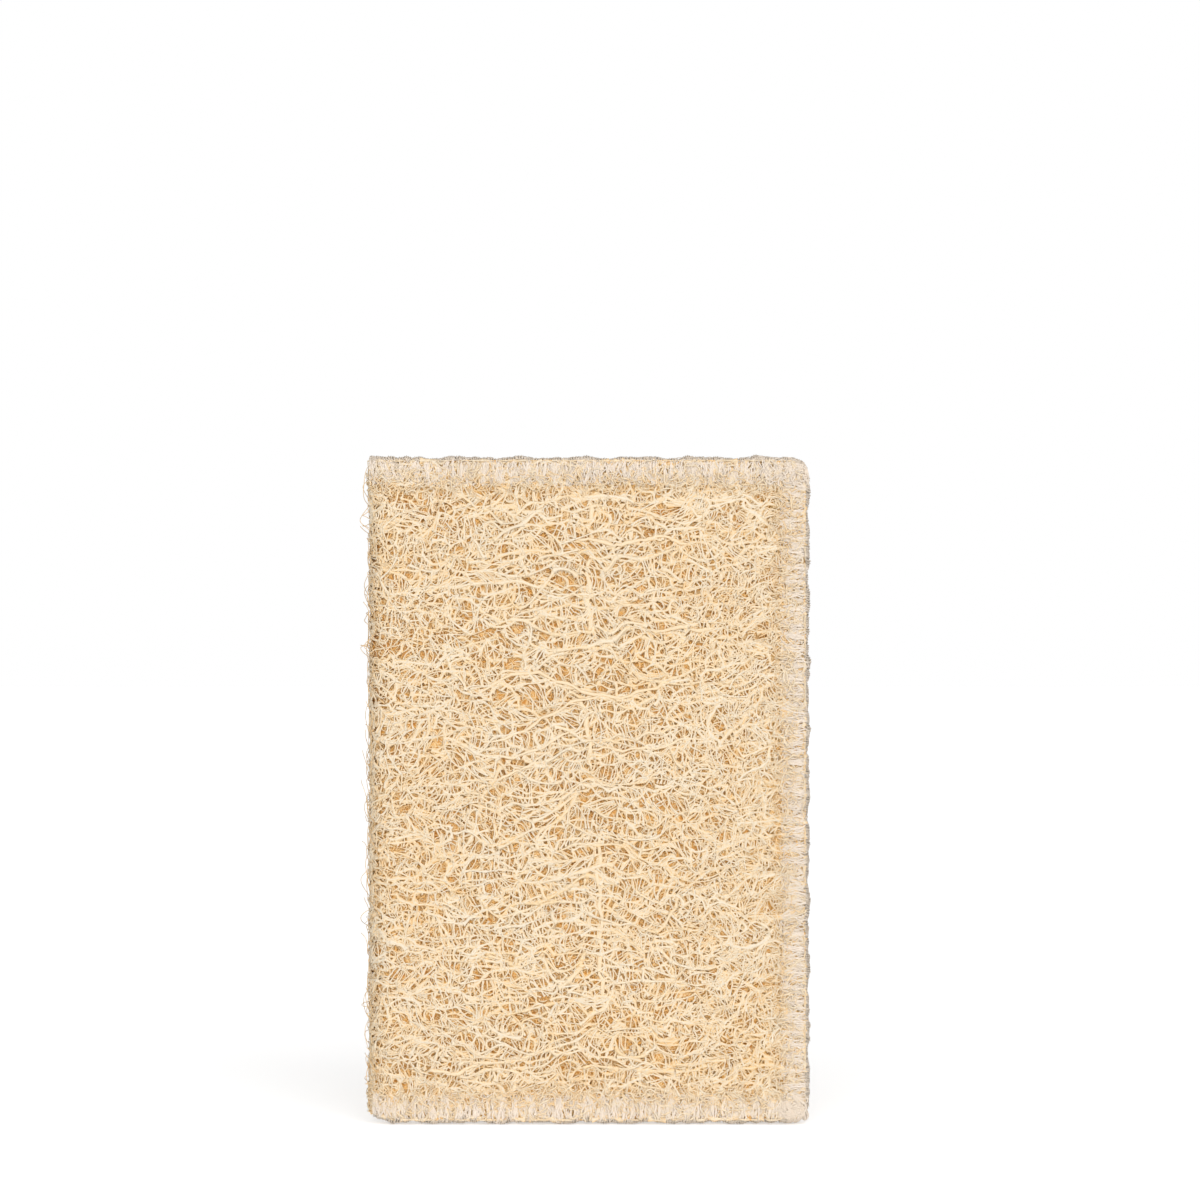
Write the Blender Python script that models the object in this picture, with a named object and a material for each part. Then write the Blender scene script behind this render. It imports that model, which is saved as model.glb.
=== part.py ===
"""A flat loofah bath pad, standing on its lower seam.

One sheet of opened loofah is folded over at the left. Its three open sides (top, right and
bottom) are closed by an overlock seam, whose thread wraps round the edge of both layers.
The front faces -Y, and Z = 0 is the underside of the lower seam. Lengths are millimetres
until a mesh is written, in metres.
"""

import math
import random

import bmesh
import bpy
from mathutils import Vector
from mathutils.geometry import delaunay_2d_cdt

MM = 0.001

# The whole pad
WIDTH = 100.0
HEIGHT = 150.0

# The overlock thread
THREAD = 0.9
THREAD_GAP = 0.3
SEAM_REACH = 5.3
RAIL_WIDTH = 1.0
CHAIN_HALF = 1.4
STITCH_PITCH = 3.15
STITCH_WIDTH = 1.35
STITCH_JITTER = 0.12
ROUND_EDGE = 1.2
FLAT_EDGE = 0.0
SEAM_ROUND_FOLD = 0.29

# The folded sheet: its edges lie inside the thread
EDGE_IN = THREAD + THREAD_GAP
X_EDGE = WIDTH / 2 - EDGE_IN
Z_LOW = EDGE_IN
Z_HIGH = HEIGHT - EDGE_IN
SEAM_HALF = 3.0
FIELD_HALF = 5.2
BAND = 6.2
RISE = 13.0
CORNER_RADIUS = 4.0

# The fold on the left
FOLD_X = -43.6
FOLD_REACH = 5.3
FOLD_LENGTH = 17.0

# The fold's lower corner is rounded up off the ground, and the pad's weight presses the lower
# seam flat between its two ends
CURL = 1.5
CURL_HEIGHT = 12.0
PRESS = 0.2

# The raised net of strands
CELL_WIDTH = 9.6
CELL_ROW = 4.75
CELL_JITTER_U = 0.20
CELL_JITTER_V = 0.24
HALF_CELL = 0.27
MERGE = 1.0
STRAND_RISE = 1.15
STRAND_VARY = 0.3
RIB_RISE = 0.55
RIB_GAP_EVERY = 7
CELL_FLOOR = -0.7
FLOOR_SHARE = 0.74
HAMMOCK = 2.6
FRONT_RIB_X = 0.8
BACK_RIB_X = -2.0

SHEET_LENGTH = 2 * (X_EDGE - FOLD_X) + FOLD_LENGTH
FRONT_RIB = X_EDGE - FRONT_RIB_X
BACK_RIB = SHEET_LENGTH - (X_EDGE - BACK_RIB_X)
NET_U = (BAND, SHEET_LENGTH - BAND)
NET_V = (Z_LOW + BAND, Z_HIGH - BAND)

# The pad's own cut edge, bevelled under the thread: the depth and the inset of the bevel
ROUND_BEVEL = (1.1, 1.75)
FLAT_BEVEL = (0.25, 0.25)


def smooth_step(value, start, length):
    """Rise from 0 to 1 over a length, with level ends."""
    t = min(1.0, max(0.0, (value - start) / length))
    return t * t * (3.0 - 2.0 * t)


def half_thickness(x, z):
    """Half the pad's thickness: thin under the thread, plump in the field."""
    from_side = smooth_step(X_EDGE - x, BAND, RISE)
    from_foot = smooth_step(z - Z_LOW, BAND, RISE)
    from_top = smooth_step(Z_HIGH - z, BAND, RISE)
    return SEAM_HALF + (FIELD_HALF - SEAM_HALF) * from_side * from_foot * from_top


def sheet_base(u, v):
    """Place of a point of the sheet: u runs from the front right edge round the fold."""
    flat = X_EDGE - FOLD_X
    if u <= flat:
        x = X_EDGE - u
        return Vector((x, -half_thickness(x, v), v))
    if u >= flat + FOLD_LENGTH:
        x = FOLD_X + (u - flat - FOLD_LENGTH)
        return Vector((x, half_thickness(x, v), v))
    turn = math.pi * (u - flat) / FOLD_LENGTH
    half = half_thickness(FOLD_X, v)
    return Vector((FOLD_X - FOLD_REACH * math.sin(turn), -half * math.cos(turn), v))


def sheet_normal(u, v):
    """Outward direction of the sheet's surface."""
    step = 0.05
    along = sheet_base(u + step, v) - sheet_base(u - step, v)
    up = sheet_base(u, v + step) - sheet_base(u, v - step)
    return up.cross(along).normalized()


def round_corner(point, radius):
    """Pull the two right-hand corners of the outline in to an arc of this radius."""
    side = point.x - (X_EDGE - CORNER_RADIUS)
    middle = (Z_HIGH + Z_LOW) / 2
    above = abs(point.z - middle) - (Z_HIGH - middle - CORNER_RADIUS)
    if side <= 0 or above <= 0:
        return point
    a = side / radius
    b = above / radius
    new_side = side * math.sqrt(max(0.0, 1.0 - b * b / 2))
    new_above = above * math.sqrt(max(0.0, 1.0 - a * a / 2))
    sign = 1.0 if point.z > middle else -1.0
    shift = Vector((new_side - side, 0.0, sign * (new_above - above)))
    return point + shift


def curl_up(point):
    """Lift both ends of the lower edge, most at the fold's very edge."""
    out = max(0.0, (FOLD_X - point.x) / FOLD_REACH)
    low = max(0.0, 1.0 - point.z / CURL_HEIGHT)
    pressed = FOLD_X <= point.x <= X_EDGE - CORNER_RADIUS
    lift = CURL * out ** 1.2 + (0.0 if pressed else PRESS)
    return point + Vector((0.0, 0.0, lift * low))


def sheet_point(u, v, raised, radius=CORNER_RADIUS):
    """A point on the sheet, raised along its normal."""
    return curl_up(round_corner(sheet_base(u, v) + sheet_normal(u, v) * raised, radius))


def hammock_sag(u, v):
    """How far the strands sag between the ribs, the fold and the seams."""
    fold = SHEET_LENGTH / 2
    marks = (NET_U[0], FRONT_RIB, fold, BACK_RIB, NET_U[1])
    for start, end in zip(marks, marks[1:]):
        if start <= u <= end:
            across = math.sin(math.pi * (u - start) / (end - start))
            up = math.sin(math.pi * (v - NET_V[0]) / (NET_V[1] - NET_V[0]))
            return -HAMMOCK * across * max(0.0, up)
    return 0.0


def cell_seeds(rng):
    """Centres of the net's cells, in bricks; those at a rib lie in mirrored pairs."""
    rows = round((NET_V[1] - NET_V[0]) / CELL_ROW)
    row_step = (NET_V[1] - NET_V[0]) / rows
    panels = ((NET_U[0], FRONT_RIB), (FRONT_RIB, BACK_RIB), (BACK_RIB, NET_U[1]))
    seeds = []
    for row in range(rows):
        level = NET_V[0] + (row + 0.5) * row_step
        rib_level = level + rng.uniform(-1, 1) * CELL_JITTER_V * row_step
        for start, end in panels:
            count = round((end - start) / CELL_WIDTH)
            step = (end - start) / count
            if row % 2:
                places = [HALF_CELL] + list(range(1, count)) + [count - HALF_CELL]
            else:
                places = [i + 0.5 for i in range(count)]
            for place in places:
                at_rib = place in (places[0], places[-1])
                u = start + place * step
                v = rib_level
                if not at_rib:
                    u += rng.uniform(-1, 1) * CELL_JITTER_U * step
                    v = level + rng.uniform(-1, 1) * CELL_JITTER_V * row_step
                seeds.append((u, v))
    return seeds


def mirrored(seeds):
    """The seeds with their reflections in the net's four borders, which make those straight."""
    reach = 2.5 * CELL_WIDTH
    out = list(seeds)
    for axis, borders in ((0, NET_U), (1, NET_V)):
        for border in borders:
            for seed in list(out):
                if 0 < abs(seed[axis] - border) < reach:
                    twin = list(seed)
                    twin[axis] = 2 * border - seed[axis]
                    inside = NET_U[0] < twin[0] < NET_U[1] and NET_V[0] < twin[1] < NET_V[1]
                    if not inside:
                        out.append(tuple(twin))
    return out


def circumcentre(a, b, c):
    """Centre of the circle through three points."""
    ax, ay = b[0] - a[0], b[1] - a[1]
    bx, by = c[0] - a[0], c[1] - a[1]
    d = 2 * (ax * by - ay * bx)
    aa = ax * ax + ay * ay
    bb = bx * bx + by * by
    return (a[0] + (by * aa - ay * bb) / d, a[1] + (ax * bb - bx * aa) / d)


def net_cells(seeds):
    """Corners of the net, and each cell as a ring of corner numbers."""
    squeeze = CELL_ROW / (math.sin(math.pi / 3) * CELL_WIDTH)
    points = [Vector((u * squeeze, v)) for u, v in mirrored(seeds)]
    found = delaunay_2d_cdt(points, [], [], 0, 1e-6)
    verts, faces = found[0], found[2]
    origin = found[3]
    centres = {}
    around = {}
    for face in faces:
        a, b, c = (verts[i] for i in face)
        u, v = circumcentre(a, b, c)
        u /= squeeze
        for i in face:
            around.setdefault(origin[i][0], []).append((u, v))
    corners = []
    cells = []
    for number, seed in enumerate(seeds):
        ring = []
        places = sorted(around[number], key=lambda p: math.atan2(p[1] - seed[1], p[0] - seed[0]))
        for u, v in places:
            key = (round(u, 2), round(v, 2))
            index = centres.get(key)
            if index is None:
                index = near_corner(corners, u, v)
                centres[key] = index
            if index not in ring:
                ring.append(index)
        cells.append(ring)
    return corners, cells


def near_corner(corners, u, v):
    """The number of the corner at this place, joined to one that is closer than MERGE."""
    on_u = [edge for edge in NET_U if abs(u - edge) < 0.02]
    on_v = [edge for edge in NET_V if abs(v - edge) < 0.02]
    u = on_u[0] if on_u else u
    v = on_v[0] if on_v else v
    for index, corner in enumerate(corners):
        if math.hypot(corner[0] - u, corner[1] - v) < MERGE:
            if on_u:
                corner[0] = u
            if on_v:
                corner[1] = v
            return index
    corners.append([u, v])
    return len(corners) - 1


def strand_rise(u, v, rng):
    """Height of the net at a corner: level with the sheet at the borders, highest on a rib."""
    on_border = min(u - NET_U[0], NET_U[1] - u, v - NET_V[0], NET_V[1] - v) < 0.05
    vary = rng.uniform(-1, 1) * STRAND_VARY
    if on_border:
        return 0.0
    on_rib = min(abs(u - FRONT_RIB), abs(u - BACK_RIB)) < MERGE
    unbroken = int(v / CELL_ROW) % RIB_GAP_EVERY != 0
    return STRAND_RISE + vary + (RIB_RISE if on_rib and unbroken else 0.0)


def build_net(bm, rng):
    """The raised net over front, fold and back. Returns its border vertices by place."""
    corners, cells = net_cells(cell_seeds(rng))
    tops = []
    for u, v in corners:
        sag = hammock_sag(u, v)
        tops.append(bm.verts.new(sheet_point(u, v + sag, strand_rise(u, v, rng))))
    for ring in cells:
        if len(ring) < 3:
            continue
        middle_u = sum(corners[i][0] for i in ring) / len(ring)
        middle_v = sum(corners[i][1] for i in ring) / len(ring)
        floor = []
        for i in ring:
            u = middle_u + (corners[i][0] - middle_u) * FLOOR_SHARE
            v = middle_v + (corners[i][1] - middle_v) * FLOOR_SHARE
            floor.append(bm.verts.new(sheet_point(u, v + hammock_sag(u, v), CELL_FLOOR)))
        for k, i in enumerate(ring):
            j = (k + 1) % len(ring)
            bm.faces.new((tops[i], tops[ring[j]], floor[j], floor[k]))
        bm.faces.new(floor)
    border = {}
    for vert, (u, v) in zip(tops, corners):
        if u in NET_U or v in NET_V:
            border[(u, v)] = vert
    return border


def bevel_at(v):
    """The edge's bevel, depth and inset: small at the foot, which the pad's weight flattens."""
    return FLAT_BEVEL if v < Z_LOW + BAND else ROUND_BEVEL


def edge_chain(border, front):
    """One layer's border, from the fold over the top, down the right side and back to the fold.

    Each stop is the net's vertex and the outward steps (du, dv) to the cut edge there.
    """
    fold = SHEET_LENGTH / 2
    side = NET_U[0] if front else NET_U[1]
    out_u = -1 if front else 1
    mine = [p for p in border if (p[0] <= fold if front else p[0] > fold)]
    top = sorted((p for p in mine if p[1] == NET_V[1]), key=lambda p: abs(p[0] - fold))
    right = sorted((p for p in mine if p[0] == side), key=lambda p: -p[1])
    foot = sorted((p for p in mine if p[1] == NET_V[0]), key=lambda p: -abs(p[0] - fold))
    stops = [(p, (0, 1)) for p in top]
    stops += [(top[-1], (out_u, 1))]
    stops += [(p, (out_u, 0)) for p in right]
    stops += [(foot[0], (out_u, -1))]
    stops += [(p, (0, -1)) for p in foot]
    return stops


def build_band(bm, border):
    """The plain band under the thread, round the three open sides, closed at the cut edge."""
    chains = []
    for front in (True, False):
        shoulder, rim, places = [], [], []
        for (u, v), (du, dv) in edge_chain(border, front):
            edge_v = v + dv * BAND
            edge_u = u + du * BAND
            depth, inset = bevel_at(edge_v)
            shoulder.append(bm.verts.new(sheet_point(edge_u - du * depth, edge_v - dv * depth, 0)))
            rim.append(bm.verts.new(sheet_point(edge_u, edge_v, -inset)))
            places.append((u, v))
        inner = [border[p] for p in places]
        for line_a, line_b in ((inner, shoulder), (shoulder, rim)):
            strip(bm, line_a, line_b, front)
        chains.append((shoulder, rim, inner))
    (front_shoulder, front_rim, front_inner), (back_shoulder, back_rim, back_inner) = chains
    for end in (0, -1):
        lines = ((front_inner, back_inner), (front_shoulder, back_shoulder), (front_rim, back_rim))
        for (front_a, back_a), (front_b, back_b) in zip(lines, lines[1:]):
            ring = [front_a[end], back_a[end], back_b[end], front_b[end]]
            bm.faces.new(ring if end == 0 else ring[::-1])
    zip_rims(bm, front_rim, back_rim)


def strip(bm, inner, outer, front):
    """Quads between two lines with the same number of vertices."""
    for k in range(len(inner) - 1):
        ring = []
        for vert in (inner[k], inner[k + 1], outer[k + 1], outer[k]):
            if vert not in ring:
                ring.append(vert)
        bm.faces.new(ring if front else ring[::-1])


def zip_rims(bm, front, back):
    """Close the cut edge between the two layers, triangle by triangle."""
    def run(line):
        lengths = [0.0]
        for a, b in zip(line, line[1:]):
            flat = Vector((b.co.x - a.co.x, b.co.z - a.co.z))
            lengths.append(lengths[-1] + flat.length)
        return [value / lengths[-1] for value in lengths]

    front_at, back_at = run(front), run(back)
    i, j = 0, 0
    while i < len(front) - 1 or j < len(back) - 1:
        take_front = j == len(back) - 1 or (i < len(front) - 1 and front_at[i + 1] <= back_at[j + 1])
        if take_front:
            bm.faces.new((front[i], front[i + 1], back[j]))
            i += 1
        else:
            bm.faces.new((front[i], back[j + 1], back[j]))
            j += 1


def finish(bm, name, material):
    """Turn a mesh built in millimetres into an object in metres."""
    bmesh.ops.scale(bm, vec=Vector((MM, MM, MM)), verts=bm.verts)
    mesh = bpy.data.meshes.new(name)
    bm.to_mesh(mesh)
    bm.free()
    mesh.materials.append(material)
    obj = bpy.data.objects.new(name, mesh)
    bpy.context.scene.collection.objects.link(obj)
    return obj


def make_material(name, color, roughness):
    """A plain material with the piece's colour."""
    material = bpy.data.materials.new(name)
    material.use_nodes = True
    shader = material.node_tree.nodes["Principled BSDF"]
    shader.inputs["Base Color"].default_value = (*color, 1.0)
    shader.inputs["Roughness"].default_value = roughness
    shader.inputs["Metallic"].default_value = 0.0
    return material


def make_pad():
    """The folded loofah sheet, one grown piece."""
    rng = random.Random(5)
    bm = bmesh.new()
    border = build_net(bm, rng)
    build_band(bm, border)
    bmesh.ops.triangulate(bm, faces=bm.faces)
    bmesh.ops.recalc_face_normals(bm, faces=bm.faces)
    return finish(bm, "loofah_pad", make_material("loofah_fibre", (0.80, 0.61, 0.37), 0.75))


def mitre(normal_a, normal_b):
    """Step from a corner of the thread's inner side to the same corner of its outer side."""
    return (normal_a + normal_b) * (THREAD / (1.0 + normal_a.dot(normal_b)))


def section(edge_round):
    """Half of the thread's section, inside and outside: four lines each, the back's in mirror.

    A line is its height off the layer's base and its depth in from the cut edge.
    """
    leg_end = Vector((THREAD_GAP, edge_round - THREAD_GAP))
    chain = Vector((CHAIN_HALF - SEAM_HALF, -THREAD_GAP))
    slope = (chain - leg_end).normalized()
    off_face, off_slope, off_edge = Vector((1, 0)), Vector((-slope.y, slope.x)), Vector((0, -1))
    needle = Vector((THREAD_GAP, SEAM_REACH))
    leg_start = Vector((THREAD_GAP, SEAM_REACH - RAIL_WIDTH))
    inside = (needle, leg_start, leg_end, chain)
    steps = (off_face * THREAD, off_face * THREAD, mitre(off_face, off_slope), mitre(off_slope, off_edge))
    return inside, tuple(line + step for line, step in zip(inside, steps))


def stitch_columns(start, end, rng):
    """Both sides of each stitch along a run, from a stitch at its start to one at its end."""
    gaps = round((end - start - STITCH_WIDTH) / STITCH_PITCH)
    pitch = (end - start - STITCH_WIDTH) / gaps
    columns = []
    for k in range(gaps + 1):
        shift = 0.0 if k in (0, gaps) else rng.uniform(-1, 1) * STITCH_JITTER
        left = start + k * pitch + shift
        columns += [left, left + STITCH_WIDTH]
    return columns


def run_skin(bm, columns, lines, place, radius, end_wall):
    """One side of a run's thread: three rails along the edge, and stitches between them.

    Returns its vertices, column by column, and its faces.
    """
    grid = []
    for column in columns:
        front = [bm.verts.new(place(column, depth, raised, True, radius)) for raised, depth in lines]
        back = [bm.verts.new(place(column, depth, raised, False, radius)) for raised, depth in lines]
        grid.append(front + back[::-1])
    rails = (0, 3, 6)
    faces = []
    for k in range(len(grid) - 1):
        in_stitch = k % 2 == 0
        for line in range(7):
            if in_stitch or line in rails:
                a, b = grid[k], grid[k + 1]
                faces.append(bm.faces.new((a[line], b[line], b[line + 1], a[line + 1])))
    if end_wall:
        wall = grid[0]
        for line in range(3):
            ring = (wall[line], wall[line + 1], wall[6 - line], wall[7 - line])
            faces.append(bm.faces.new(ring))
    return grid, faces


def make_run(name, columns, place, edge_round, end_wall, material):
    """One run of overlock thread, from its inner and outer skins and the rims between them.

    place(column, depth, raised, front, radius) gives a point of the run.
    """
    bm = bmesh.new()
    inside, outside = section(edge_round)
    out_columns = list(columns)
    if end_wall:
        out_columns[0] -= THREAD
    radius = CORNER_RADIUS + THREAD_GAP
    inner, inner_faces = run_skin(bm, columns, inside, place, radius, end_wall)
    outer, _ = run_skin(bm, out_columns, outside, place, radius + THREAD, end_wall)
    twin = {a: b for line_a, line_b in zip(inner, outer) for a, b in zip(line_a, line_b)}
    bm.edges.index_update()
    rims = {edge for face in inner_faces for edge in face.edges if len(edge.link_faces) == 1}
    for edge in sorted(rims, key=lambda e: e.index):
        a, b = edge.verts
        bm.faces.new((a, b, twin[b], twin[a]))
    bmesh.ops.triangulate(bm, faces=bm.faces)
    bmesh.ops.recalc_face_normals(bm, faces=bm.faces)
    return finish(bm, name, material)


def make_seams():
    """The three runs of overlock thread. The top and foot runs turn both right-hand corners."""
    rng = random.Random(11)
    thread = make_material("overlock_thread", (0.82, 0.70, 0.60), 0.85)
    along_end = X_EDGE - FOLD_X + FOLD_LENGTH * SEAM_ROUND_FOLD

    def across(level_of):
        def place(column, depth, raised, front, radius):
            u = column if front else SHEET_LENGTH - column
            return sheet_point(u, level_of(depth), raised, radius)
        return place

    def down(column, depth, raised, front, radius):
        u = depth if front else SHEET_LENGTH - depth
        return sheet_point(u, column, raised, radius)

    top_columns = stitch_columns(-THREAD_GAP, along_end, rng)
    foot_columns = stitch_columns(-THREAD_GAP, along_end, rng)
    side_clear = SEAM_REACH + THREAD_GAP
    side_columns = stitch_columns(Z_LOW + side_clear, Z_HIGH - side_clear, rng)
    top = across(lambda depth: Z_HIGH - depth)
    foot = across(lambda depth: Z_LOW + depth)
    make_run("overlock_seam_top", top_columns, top, ROUND_EDGE, True, thread)
    make_run("overlock_seam_side", side_columns, down, ROUND_EDGE, False, thread)
    make_run("overlock_seam_bottom", foot_columns, foot, FLAT_EDGE, True, thread)


def main():
    """Build the pad and its seams in an empty scene."""
    for obj in list(bpy.data.objects):
        bpy.data.objects.remove(obj, do_unlink=True)
    make_pad()
    make_seams()


main()
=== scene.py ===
"""Looks of a flat loofah bath pad that stands on its lower seam.

The pad is one sheet of luffa fibre net, folded over at the left and overlocked with soft
thread on its other three sides. Everything is built in millimetres on the folded sheet's
own coordinates, and written to the meshes in metres:

    u  along the sheet, from the front right edge, round the fold, to the back right edge
    v  height above the surface that the pad stands on
    lift  height off the sheet's surface, outwards
"""
import logging
import math
from collections.abc import Callable, Sequence
from dataclasses import dataclass, field
from enum import Enum

import bpy
import numpy as np
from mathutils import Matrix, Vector
from mathutils.geometry import delaunay_2d_cdt


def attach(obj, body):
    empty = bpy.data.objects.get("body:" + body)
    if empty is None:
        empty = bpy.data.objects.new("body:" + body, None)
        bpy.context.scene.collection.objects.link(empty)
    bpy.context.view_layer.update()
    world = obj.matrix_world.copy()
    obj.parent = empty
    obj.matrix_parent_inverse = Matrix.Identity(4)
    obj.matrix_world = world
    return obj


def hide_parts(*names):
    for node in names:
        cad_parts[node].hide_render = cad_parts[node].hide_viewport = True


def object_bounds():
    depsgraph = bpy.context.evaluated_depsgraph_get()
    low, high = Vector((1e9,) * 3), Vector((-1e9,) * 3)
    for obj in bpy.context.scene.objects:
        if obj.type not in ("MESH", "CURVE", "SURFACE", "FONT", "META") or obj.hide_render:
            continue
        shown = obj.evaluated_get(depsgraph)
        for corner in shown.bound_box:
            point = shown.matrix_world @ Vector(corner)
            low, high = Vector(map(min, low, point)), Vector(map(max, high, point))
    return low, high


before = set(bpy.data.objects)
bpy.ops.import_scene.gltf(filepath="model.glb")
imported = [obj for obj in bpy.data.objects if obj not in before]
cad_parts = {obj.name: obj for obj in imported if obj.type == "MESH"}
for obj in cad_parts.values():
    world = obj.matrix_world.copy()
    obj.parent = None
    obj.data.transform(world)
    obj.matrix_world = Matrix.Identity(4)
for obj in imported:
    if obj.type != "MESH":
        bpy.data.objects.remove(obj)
CAD_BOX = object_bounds()

log = logging.getLogger("loofah_pad")

MM = 0.001
PAD_NODE = "loofah_pad"
BODY = "root"
TINTS = ("depth", "tone")
PAD_WIDTH = 100.0
SEWN_FLAT = 0.35  # how much of its lift the net keeps under the thread
TONE_SPREAD = 0.6

Array = np.ndarray
Places = tuple[tuple[float, float], ...]
Stops = tuple[tuple[float, str], ...]
Speckles = tuple[tuple[float, float, float], ...]
Holder = bpy.types.Material | bpy.types.World


class Slot(Enum):
    """The record's material slots."""

    FIBRE = "loofah_fibre"
    THREAD = "overlock_thread"


class Face(Enum):
    """Which half of the folded sheet a piece lies on."""

    FRONT = "front"
    BACK = "back"


class Edge(Enum):
    """The three sewn edges, each with the name of its solid node."""

    TOP = "overlock_seam_top"
    SIDE = "overlock_seam_side"
    BOTTOM = "overlock_seam_bottom"


def linear(hex_colour: str) -> tuple[float, ...]:
    """Turn an sRGB hex colour into linear RGBA.

    Args:
        hex_colour: six hex digits, such as "E8D0AE".

    Returns:
        Linear red, green, blue and an alpha of 1.
    """
    levels = (part / 255 for part in bytes.fromhex(hex_colour))
    return (*(x / 12.92 if x <= 0.04045 else ((x + 0.055) / 1.055) ** 2.4 for x in levels), 1.0)


def unit(vectors: Array) -> Array:
    """Scale vectors along the last axis to length 1."""
    return vectors / np.maximum(np.linalg.norm(vectors, axis=-1, keepdims=True), 1e-9)


def smooth_step(value: Array, start: float, length: float) -> Array:
    """Rise from 0 to 1 over a length, with level ends."""
    t = np.clip((value - start) / length, 0.0, 1.0)
    return t * t * (3.0 - 2.0 * t)


def blend(low: Array | float, high: Array | float, share: Array) -> Array:
    """Go from low to high as share goes from 0 to 1."""
    return low + (high - low) * share


def shades(rng: np.random.Generator, count: int) -> Array:
    """Draw each fibre's own shade, -1 to 1 and mostly near 0."""
    return np.clip(rng.standard_normal(count) * TONE_SPREAD, -1, 1)


class WaveField:
    """A smooth, seeded, random field over the sheet: a sum of sine waves."""

    waves = 9

    def __init__(self, rng: np.random.Generator, wavelength: float) -> None:
        """Draw the waves.

        Args:
            rng: the seeded source of random draws.
            wavelength: the waves' mean length, in millimetres.
        """
        angle = rng.uniform(0, 2 * math.pi, self.waves)
        length = wavelength * rng.uniform(0.7, 1.4, self.waves)
        self.k = 2 * math.pi / length[:, None] * np.stack([np.cos(angle), np.sin(angle)], 1)
        self.phase = rng.uniform(0, 2 * math.pi, self.waves)

    def at(self, u: Array, v: Array) -> Array:
        """Value at each place, about -2 to 2 with a spread of 1."""
        angle = u[..., None] * self.k[:, 0] + v[..., None] * self.k[:, 1] + self.phase
        return np.sin(angle).sum(axis=-1) * math.sqrt(2.0 / self.waves)


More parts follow.
